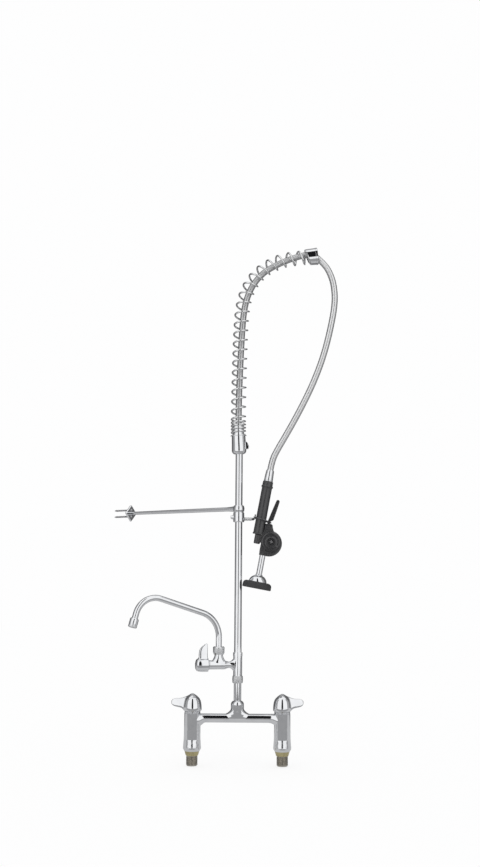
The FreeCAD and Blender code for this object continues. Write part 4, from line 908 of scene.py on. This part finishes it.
nippleFlange = turned("nippleFlange", [(8.0, 153.7), (9.6, 153.7), (9.6, 156.9), (8.0, 156.9)], 48,
                      hollow=True, edge=0.15)
nipple = joined("riserNipple", [makePipe("nipplePipe", 97.0, 156.9), nippleFlange])
dress(nipple, "chrome", "faucet", "riser_nipple")
dress(makePipe("riserPipe", 203.6, 686.0), "chrome", "faucet", "riser_pipe")

unionNut = {"low": 148.9, "high": 166.0, "radius": 12.3, "end": 11.1}


def makeUnionNut():
    low, high, radius, end = (unionNut[key] for key in ("low", "high", "radius", "end"))
    piece = turned("unionNut", [(riserHole, low), (end - 0.5, low), (end, low + 0.6),
                                ((radius - 0.35, (low + high) / 2), (end, high - 0.6)), (end - 0.5, high),
                                (9.9, high), (9.9, 153.7), (riserHole, 153.7)],
                   60, hollow=True, edge=0, arcSteps=9)
    return knurled(piece, low + 1.2, high - 1.2, 0.3, 0.2)


dress(makeUnionNut(), "knurledChrome", "faucet", "union_nut")
print("union made")

# Nozzle nut: a knurled body under a polished shoulder
nozzleNut = {"low": 212.9, "high": 231.0, "radius": 13.3}


def makeNozzleNut():
    low, high, r = (nozzleNut[key] for key in ("low", "high", "radius"))
    band = [(r - 0.4, low + rise) for rise in (4.2, 6.6, 9.0, 11.4, 13.6)]
    piece = turned("nozzleNut", [(9.1, low), (r * 0.84, low)] + band +
                   [(r, low + 14.0), (r, high - 1.9), (r - 1.7, high), (6.96, high), (6.96, high - 4),
                    (9.1, high - 4)], 60, hollow=True, edge=0)
    knurled(piece, low + 4.3, low + 13.5, 0.32, 0.24)
    return seat(piece, Matrix.Translation((nozzlePlace.translation.x, nozzlePlace.translation.y, 0)))


dress(makeNozzleNut(), "knurledChrome", "faucet", "nozzle_nut")

# Swing nozzle: one bent tube with a collar at its foot, and the aerator at its end
nozzleShape = {"radius": 6.9, "bends": (0.058, 0.046), "bottom": 0.203, "bend": 0.2938,
               "peak": (0.1873, 0.3519), "drop": 0.068, "endAngle": 15.5}


def nozzleRoute():
    fall = math.radians(nozzleShape["endAngle"])
    peak = Vector((nozzleShape["peak"][0], 0, nozzleShape["peak"][1]))
    return [Vector((0, 0, nozzleShape["bottom"])), Vector((0, 0, nozzleShape["bend"])), peak,
            peak + Vector((math.sin(fall), 0, -math.cos(fall))) * nozzleShape["drop"]]


def makeNozzle():
    line = bentLine(nozzleRoute(), nozzleShape["bends"], 18)
    outer = tubeAlong("swingNozzle", line, nozzleShape["radius"] * mm, 36)
    collar = turned("nozzleCollar", [(6.7, 221.3), (8.2, 221.3), (8.7, 221.8), (8.7, 223.8), (8.2, 224.3),
                                     (6.7, 224.3)], 48, hollow=True, edge=0.15)
    return seat(joined("swingNozzle", [outer, collar]), nozzlePlace)


dress(makeNozzle(), "chrome", "nozzle", "swing_nozzle")
aerator = {"radius": 9.9, "wall": 1.4, "low": -11.6, "high": 9.0}


def makeAerator():
    low, high, r = (aerator[key] for key in ("low", "high", "radius"))
    inner = r - aerator["wall"]
    band = [(r - 0.2, low + rise) for rise in (1.2, 3.2, 5.2)]
    piece = turned("aeratorShell", [(inner, low), (r - 1.4, low)] + band +
                   [(r, low + 5.6), (r, low + 6.6), (r - 0.5, low + 7.1), (r, low + 7.6), (r, high - 1.6),
                    (r - 1.2, high), (7.0, high), (7.0, 0), (inner, 0)], 56, hollow=True, edge=0)
    knurled(piece, low + 1.3, low + 5.1, 0.18, 0.2)
    end = nozzleRoute()[-1]
    return seat(piece, nozzlePlace @ Matrix.Translation(end) @ turnAbout(-nozzleShape["endAngle"], "Y"))


dress(makeAerator(), "chrome", "nozzle", "aerator_shell")
print("nozzle made")

# Wall bracket: a ring, a long drawn arm, a diamond plate and two screws
bracketShape = {"bore": 8.61, "ringHalf": 7.5, "ring": 13.4, "ringEnd": 11.9, "armRoot": 5.2, "armEnd": 4.0,
                "flare": 7.0, "end": 325.0}


def makeBracket():
    b = bracketShape
    bore, half, end = b["bore"], b["ringHalf"], b["ringEnd"]
    ring = turned("bracketRing", [(bore, -half), (end - 0.4, -half), (end, -half + 0.4),
                                  ((b["ring"], 0), (end, half - 0.4)), (end - 0.4, half), (bore, half)],
                  56, hollow=True, edge=0, arcSteps=8)
    arm = turned("bracketArm", [(b["flare"], 9.4), (b["flare"], 12.0),
                                ((b["armRoot"] * 1.08, 23.9), (b["armRoot"], 43.4)), (4.6, 180.0),
                                (b["armEnd"], b["end"])], 32, edge=0, arcSteps=7)
    return seat(joined("wallBracket", [ring, seat(arm, ontoX)]), bracketPlace)


dress(makeBracket(), "chrome", "wall_bracket_assembly", "wall_bracket")
flangeShape = {"half": 20.8, "cornerCut": 0.9, "corner": 3.2, "thickness": 4.0, "layers": (0.55, 0.45),
               "faceShare": 0.9, "face": 322.5}


def makeFlange():
    f = flangeShape
    thickness = f["thickness"]
    piece = circle("wallFlange", 4, f["half"] + f["cornerCut"])
    opened(piece, "VERT")
    bpy.ops.mesh.bevel(offset=f["corner"] * mm, segments=5, affect="VERTICES")
    opened(piece, "FACE")
    for layer in f["layers"]:
        pulled(z=-thickness * layer)
    widened(f["faceShare"], -thickness)
    smoothed(seat(shut(piece), at(f["face"] + thickness) @ ontoX))
    rounded(piece, 0.45, 3, 20)
    return seat(smoothed(piece), bracketPlace)


dress(makeFlange(), "chrome", "wall_bracket_assembly", "wall_flange")
screwShape = {"offset": 7.9, "radius": 2.3, "head": 3.3, "headHeight": 2.4, "start": 322.5, "end": 378.5,
              "pitch": 1.6, "depth": 0.5}


def makeWallScrew(side):
    s = screwShape
    head, tall = s["head"], s["headHeight"]
    cap = turned("screwHead", [(head - 0.2, 0), (head, -0.3), ((head * 0.8, -tall * 0.75), (1.5, -tall)),
                               (1.3, -tall + 0.1), (1.0, -tall + 1.1)], 28, edge=0)
    length, root = s["end"] - s["start"], s["radius"] - s["depth"]
    core = turned("screwCore", [(root, -0.4), (root, length - 5), (0.2, length)], 20, edge=0)
    thread = makeThread("screwThread", s["radius"], s["depth"] + 0.1, s["pitch"], 4.5, length - 4.5, 18)
    place = at(s["start"], 0, side * s["offset"]) @ ontoX
    return seat(joined("wallScrew", [cap, core, thread]), bracketPlace @ place)


screws = joined("wallScrews", [makeWallScrew(-1), makeWallScrew(1)])
dress(screws, "steel", "wall_bracket_assembly", "wall_screws")
print("wall bracket made")

# Crossbar: its end at the hot leg flares downwards into the leg, like the other end
flareShape = {"bar": 10.2, "grows": 5.0, "top": 82.2, "topRise": 0.45, "start": -70.2, "end": -92.4,
              "steps": 12, "inset": 0.999, "ease": 1.3}


def makeCrossbarFlare():
    f = flareShape
    places, radii = [], []
    for n in range(f["steps"] + 1):
        share = n / f["steps"]
        spread = (1 - math.cos(math.pi * share ** f["ease"])) / 2
        radius = (f["bar"] + f["grows"] * spread) * f["inset"]
        top = f["top"] + f["topRise"] * spread
        places.append(Vector((f["start"] + (f["end"] - f["start"]) * share, 0, top - radius)) * mm)
        radii.append(radius * mm)
    return smoothed(tubeAlong("crossbarFlare", places, radii, 64), 40)


crossbarFlare = dress(makeCrossbarFlare(), "castChrome", "faucet")

# Finger hook: a clamp with a nub, the rod, its black cover and the ring that hangs in it
hookShape = {"low": 513.6, "high": 537.2, "radius": 12.9, "rod": 3.7, "rodZ": 521.3, "rodEnd": 31.0,
             "cover": 3.0, "coverStep": 35.3, "tip": 1.4, "tipRise": 11.5, "tipBend": 3.0, "valley": 35.285}
ringRound = {"wire": 1.4, "radius": 21.0, "tilt": 18.5, "x": 55.2, "play": 0.3, "steps": 96,
             "weldAt": 0.32, "weldHalf": 1.6, "weldRise": 0.22}
rodPlace = at(z=hookShape["rodZ"])


def makeHookClamp():
    low, high, radius = (hookShape[key] for key in ("low", "high", "radius"))
    middle = (low + high) / 2
    ring = turned("hookClamp", [(riserHole, low), (radius - 1.3, low), (radius, low + 1.3),
                                (radius + 0.15, middle), (radius, high - 1.3), (radius - 1.3, high),
                                (riserHole, high)], 56, hollow=True, edge=0.3)
    nub = turned("hookNub", [(2.6, -10.0), (6.4, -10.0), ((4.9, -14.4), (3.4, -18.6)), (2.9, -19.0),
                             (2.6, -19.0)], 40, hollow=True, edge=0.15)
    socket = turned("hookSocket", [(3.8, 9.6), (4.9, 9.6), (4.9, 13.6), (4.4, 14.2), (3.8, 14.2)], 36,
                    hollow=True, edge=0.15)
    return joined("hookClamp", [ring, seat(nub, at(z=middle) @ ontoX), seat(socket, rodPlace @ ontoX)])


dress(makeHookClamp(), "chrome", "faucet", "hook_clamp")


def fingerLine(start):
    # along the rod, then up the fingertip
    h = hookShape
    turnX = h["valley"] + ringRound["wire"] + ringRound["play"] + h["tip"]
    rise = h["tipRise"] - h["tip"]
    points = [rodPlace @ (Vector(spot) * mm) for spot in ((start, 0, 0), (turnX, 0, 0), (turnX, 0, rise))]
    return bentLine(points, (h["tipBend"] * mm,), 8)


def makeFingerHook():
    radius, end = hookShape["rod"], hookShape["rodEnd"]
    rod = turned("hookRod", [(2.6, 8.8), (radius, 8.8), (radius, end - 0.7), (3.3, end), (2.6, end)], 36,
                 edge=0.2)
    pin = tubeAlong("hookPin", fingerLine(end - 1), 0.8 * mm, 12)
    return joined("fingerHook", [seat(rod, rodPlace @ ontoX), pin])


def makeHookCover():
    # thick round the rod's end, thin up the fingertip, with a rounded top
    tip = hookShape["tip"] * mm
    line = fingerLine(hookShape["rodEnd"] + 0.05)
    line.insert(1, rodPlace @ Vector((hookShape["coverStep"] * mm, 0, 0)))
    radii = [hookShape["cover"] * mm] * 2 + [tip] * (len(line) - 2)
    line += [line[-1] + Vector((0, 0, 0.0008)), line[-1] + Vector((0, 0, 0.0013))]
    radii += [tip * 0.8, tip * 0.35]
    return rounded(tubeAlong("hookTipCover", line, radii, 20), 0.2)


dress(makeFingerHook(), "satin", "faucet", "finger_hook")
dress(makeHookCover(), "blackPlastic", "faucet", "hook_tip_cover")


def makeHoldOpenRing():
    # a wire ring with a small weld where its ends meet
    r = ringRound
    drop = r["radius"] * math.sin(math.radians(r["tilt"]))
    z = hookShape["rodZ"] + hookShape["cover"] + r["wire"] + r["play"] - drop
    count = r["steps"]
    places, radii = [], []
    for n in range(count):
        angle = 2 * math.pi * n / count
        places.append(Vector((math.cos(angle), math.sin(angle), 0)) * r["radius"] * mm)
        weld = max(0, 1 - abs(n - count * r["weldAt"]) / r["weldHalf"])
        radii.append((r["wire"] + r["weldRise"] * weld) * mm)
    piece = tubeAlong("holdOpenRing", places, radii, 16, closed=True)
    return seat(piece, at(r["x"], 0, z) @ turnAbout(r["tilt"], "Y"))


dress(makeHoldOpenRing(), "steelPaintedAsReflection", "faucet", "hold_open_ring")
print("finger hook made")

# Collar and sleeve at the foot of the spring
collarShape = {"low": 672.7, "high": 715.5, "radius": 17.3, "top": 16.3, "rim": 18.9, "rimHeight": 2.5,
               "beadZ": 691.5}


def makeCollar():
    c = collarShape
    low, high, radius, rim = c["low"], c["high"], c["radius"], c["rim"]
    top = high + c["rimHeight"]
    body = turned("springCollar", [(riserHole, low), (9.9, low), (10.4, low + 0.4),
                                   ((15.4, low + 3.3), (radius, low + 8.2)), (radius, low + 12),
                                   (c["top"], high), (rim - 0.4, high), (rim, high + 0.4), (rim, top - 0.4),
                                   (rim - 0.4, top), (13.4, top), (13.4, low + 18), (riserHole, low + 17.8)],
                  64, hollow=True, edge=0.12)
    lug = slab("collarLug", [(13.5, 684.2), (21.6, 684.2), (23.1, 686.4), (21.5, 698.8), (14.6, 705.6)],
               -5.0, 5.0, 0.9, 4)
    bead = turned("lugBead", [(2.5, 20.6), (3.9, 20.6), (3.9, 23.0), (3.3, 23.5), (2.5, 23.5)], 32,
                  hollow=True, edge=0.15)
    seat(bead, at(z=c["beadZ"]) @ ontoX)
    return seat(joined("springCollar", [body, lug, bead]), collarPlace)


dress(makeCollar(), "chrome", "faucet", "spring_collar")
sleeve = turned("hoseSleeve", [(7.6, 690.5), (13.3, 690.5), (13.3, 743.8), (12.6, 744.5), (7.6, 744.5)], 48,
                hollow=True, edge=0.2)
dress(seat(sleeve, collarPlace), "chrome", "faucet", "hose_sleeve")

# Cup at the arch's end: a short cone with an inturned lip and a slanted mouth
cupShape = {"start": 30.0, "radius": 19.6, "end": 21.0, "wall": 1.2, "lip": 3.2, "slant": 30.0}


def makeCup():
    c = cupShape
    r, e, start, wall, lip = (c[key] for key in ("radius", "end", "start", "wall", "lip"))
    piece = turned("archEndCup", [(r - wall, -start), (r, -start), (e - 0.5, -5.2), (e, -4.8), (e, -0.6),
                                  (e - 0.6, 0), (e - lip, 0), (e - lip, -wall), (e - wall, -wall)],
                   56, hollow=True, edge=0.1)
    # the mouth is cut on a slant, and its two rims are joined
    slope = (e + 1) * math.tan(math.radians(c["slant"])) + 1
    opened(piece)
    bpy.ops.mesh.bisect(plane_co=(-(e + 1) * mm, 0, -(start + 1) * mm),
                        plane_no=Vector((-slope, 0, 2 * (e + 1))).normalized(), clear_inner=True,
                        use_fill=False)
    pickEdges(piece, atBorder)
    bpy.ops.mesh.bridge_edge_loops()
    smoothed(shut(piece))
    sample, length = sampler(springLine())
    end, way = sample(length)
    turn = math.degrees(math.atan2(way.x, way.z))
    return seat(piece, Matrix.Translation(end) @ turnAbout(turn, "Y"))


dress(makeCup(), "chrome", "faucet", "arch_end_cup")
print("collar and cup made")

# Spray valve: ferrule, grip, body, cover, lever, tube, cup and bumper
ferrule = turned("hoseFerrule", [(4.8, 0), (10.4, 0), (10.9, 0.5), (10.9, 2.4), (10.3, 2.8), (10.6, 3.4),
                                 (9.6, 23.6), (9.3, 24.4), (9.3, 26.2), (8.5, 27.2), (4.8, 27.2)], 48,
                 hollow=True, edge=0.12)
dress(seat(ferrule, valvePlace), "chrome", "faucet", "hose_ferrule")
gripShape = {"length": 125.4, "bore": 6.6}


def makeGrip():
    g = gripShape
    end = -g["length"]
    piece = turned("gripSleeve", [(g["bore"], 0), (11.3, 0), (12.1, -0.8), (12.2, -8.8), (12.6, -10.2),
                                  (13.5, -11.2), (13.9, -12.2), (13.9, -13.0), (13.5, -14.0), (12.4, -15.0),
                                  (11.95, -16.4), (12.0, -40), (12.1, -70), (12.35, -100), (12.5, end + 4.2),
                                  (13.3, end + 3.4), (13.5, end + 2.9), (13.5, end + 0.6), (12.9, end),
                                  (g["bore"], end)], 54, hollow=True, edge=0.1)
    return seat(piece, valvePlace)


dress(makeGrip(), "blackPlastic", "faucet", "grip_sleeve")

bodyShape = {"discX": 28.3, "discZ": -141.4, "front": -9.0, "outletX": 18.7, "coverX": 32.0,
             "coverZ": -137.2, "flatX": 9.7, "half": 8.5, "slot": 4.2, "voxel": 0.0007}


def makeValveBody():
    b = bodyShape
    front, half, slot = b["front"], b["half"], b["slot"]
    disc = turned("valveDisc", [(25.4, front), (28.0, front + 0.2), (29.5, front + 1.6), (30.0, front + 3.6),
                                (30.0, 5.0), (28.8, 8.6), (25.0, 10.8), (19.0, 11.0)], 64, edge=0)
    opened(seat(disc, at(b["discX"], 0, b["discZ"]) @ turnAbout(-90, "X")))
    bpy.ops.mesh.bisect(plane_co=(b["flatX"] * mm, 0, 0), plane_no=(1, 0, 0), clear_inner=True, use_fill=True)
    shut(disc)
    inlet = turned("valveInlet", [(6.4, -147.0), (7.1, -146.2), (7.4, -144.6), (7.4, -125.4), (4.8, -125.4)],
                   40, edge=0)
    outlet = turned("valveOutlet", [(7.0, -171.4), (8.2, -171.4), (8.6, -170.6), (8.6, -141.6)], 40, edge=0)
    seat(outlet, at(b["outletX"]))
    cheekLine = [(12.0, -142.0), (12.0, -98.4), (16.4, -96.8), (25.2, -96.5), (28.4, -98.5), (29.5, -102.0),
                 (34.6, -113.4), (34.0, -142.0)]
    cheeks = [slab("valveCheek", cheekLine, low, high, 0) for low, high in ((-half, -slot), (slot, half))]
    stem = slab("valveStem", [(12.0, -143.0), (12.0, -107.6), (31.6, -107.6), (34.6, -113.4),
                              (34.0, -143.0)], -half, half, 0)
    bridge = slab("valveBridge", [(5.0, -143.0), (5.0, -126.4), (16.0, -126.0), (16.0, -143.0)], -5.6, 5.6, 0)
    piece = joined("sprayValveBody", [disc, inlet, outlet, stem, bridge] + cheeks)
    modifierDone(piece, "REMESH", mode="VOXEL", voxel_size=b["voxel"])
    modifierDone(piece, "SMOOTH", factor=0.5, iterations=4)
    smoothed(piece, 80)
    return seat(piece, valvePlace)


dress(makeValveBody(), "blackPlastic", "faucet", "spray_valve_body")


def onCover(piece):
    place = at(bodyShape["coverX"], bodyShape["front"], bodyShape["coverZ"])
    return seat(piece, valvePlace @ place @ frontwards)


cover = turned("valveCover", [(1.9, 0), (23.4, 0), (23.4, 0.6), (22.5, 2.4), (20.4, 3.8), (18.6, 4.2),
                              (14.6, 4.2), (13.8, 3.7), (12.6, 3.9), (11.2, 4.4), (10.2, 5.3), (9.6, 5.8),
                              (8.7, 5.8), (8.0, 5.0), (7.2, 2.4), (6.4, 1.8), (1.9, 1.8)], 64, hollow=True,
               edge=0.1)
dress(onCover(cover), "wornPlastic", "faucet", "valve_cover")


def makeCoverScrew():
    head = turned("coverScrew", [(1.8, -4.4), (1.8, 1.8), (3.3, 1.8), (3.4, 2.0), (3.4, 3.1), (3.0, 3.55),
                                 (1.6, 3.6)], 36, edge=0)
    pickFaces(head, lambda middle, normal: normal.z > 0.9 and middle.z > 3.5 * mm)
    bpy.ops.mesh.inset(thickness=0.5 * mm, depth=0)
    pulled(z=-0.9)
    return onCover(smoothed(shut(head)))


dress(makeCoverScrew(), "steel", "faucet", "cover_screw")

leverShape = {"pin": (25.2, -101.0), "half": 5.5, "rootHalf": 3.9, "rootTop": -88.4, "neckTop": -85.6,
              "cuts": (-88.8, -86.0, -70.0)}
pinPlace = at(leverShape["pin"][0], 0, leverShape["pin"][1]) @ frontwards


def makeSqueezeLever():
    # a rounded paddle on a narrow root, with a hub on the pin and a toe over the valve's stem
    s = leverShape
    arm = slab("squeezeLever", [(17.0, -100.6), (15.6, -93.0), (21.4, -66.0), (26.9, -42.3),
                                ((31.6, -38.2), (35.1, -42.4)), (32.2, -64.0), (28.5, -86.6), (22.0, -91.4),
                                (22.0, -95.2), (25.0, -101.0)], -s["half"], s["half"], 1.5, 4)
    for z in s["cuts"]:
        opened(arm)
        bpy.ops.mesh.bisect(plane_co=(0, 0, z * mm), plane_no=(0, 0, 1))
    shut(arm)
    narrow = s["rootHalf"] / s["half"]
    for vertex in arm.data.vertices:
        if vertex.co.z < s["rootTop"] * mm:
            vertex.co.y *= narrow
        elif vertex.co.z < s["neckTop"] * mm:
            vertex.co.y *= (narrow + 1) / 2
    hub = turned("leverHub", [(2.0, -3.9), (4.0, -3.9), (4.4, -3.5), (4.4, 3.5), (4.0, 3.9), (2.0, 3.9)], 36,
                 hollow=True, edge=0)
    toe = turned("leverToe", [(1.9, -3.9), (2.2, -3.6), (2.2, 3.6), (1.9, 3.9)], 24, edge=0)
    seat(hub, pinPlace)
    seat(toe, at(bodyShape["outletX"], 0, -103) @ frontwards)
    web = slab("leverWeb", [(18.7, -105.0), (22.6, -105.0), (22.2, -100.8), (18.7, -100.8)], -3.8, 3.8, 0.2)
    return seat(joined("squeezeLever", [smoothed(arm, 40), hub, toe, web]), valvePlace)


dress(makeSqueezeLever(), "wornPlastic", "spray_lever", "squeeze_lever")
pin = turned("leverPin", [(1.5, -8.5), (1.9, -8.2), (1.9, 8.2), (1.5, 8.5)], 28, edge=0)
dress(seat(seat(pin, pinPlace), valvePlace), "steel", "faucet", "lever_pin")

outletPlace = valvePlace @ at(bodyShape["outletX"])
tube = turned("outletTube", [(5.2, -224.0), (6.9, -224.0), (6.9, -152.0), (5.2, -152.0)], 48, hollow=True,
              edge=0.15)
dress(seat(tube, outletPlace), "chrome", "faucet", "outlet_tube")
sprayCup = turned("sprayCup", [(7.0, -215.6), (8.1, -215.6), (8.6, -216.1), (8.7, -217.2),
                               ((16.2, -222.1), (20.8, -231.0)), (20.8, -234.6), (19.2, -234.6),
                               (19.2, -231.0), (8.6, -224.8), (7.0, -224.8)], 56, hollow=True, edge=0.1,
                  arcSteps=8)
dress(seat(sprayCup, outletPlace), "chrome", "faucet", "spray_cup")
bumper = turned("rubberBumper", [(20.9, -232.4), (25.6, -232.4), (26.4, -232.7),
                                 ((31.9, -236.1), (33.3, -240.5)), (33.4, -245.8), (33.1, -247.6),
                                 (32.0, -248.6), (30.0, -248.6), (29.2, -247.9), (27.2, -247.9),
                                 (26.6, -248.6), (21.4, -248.6), (21.4, -234.6), (20.9, -234.6)], 64,
                hollow=True, edge=0.2, arcSteps=7)
dress(seat(bumper, outletPlace), "blackRubber", "faucet", "rubber_bumper")
print("spray valve made")
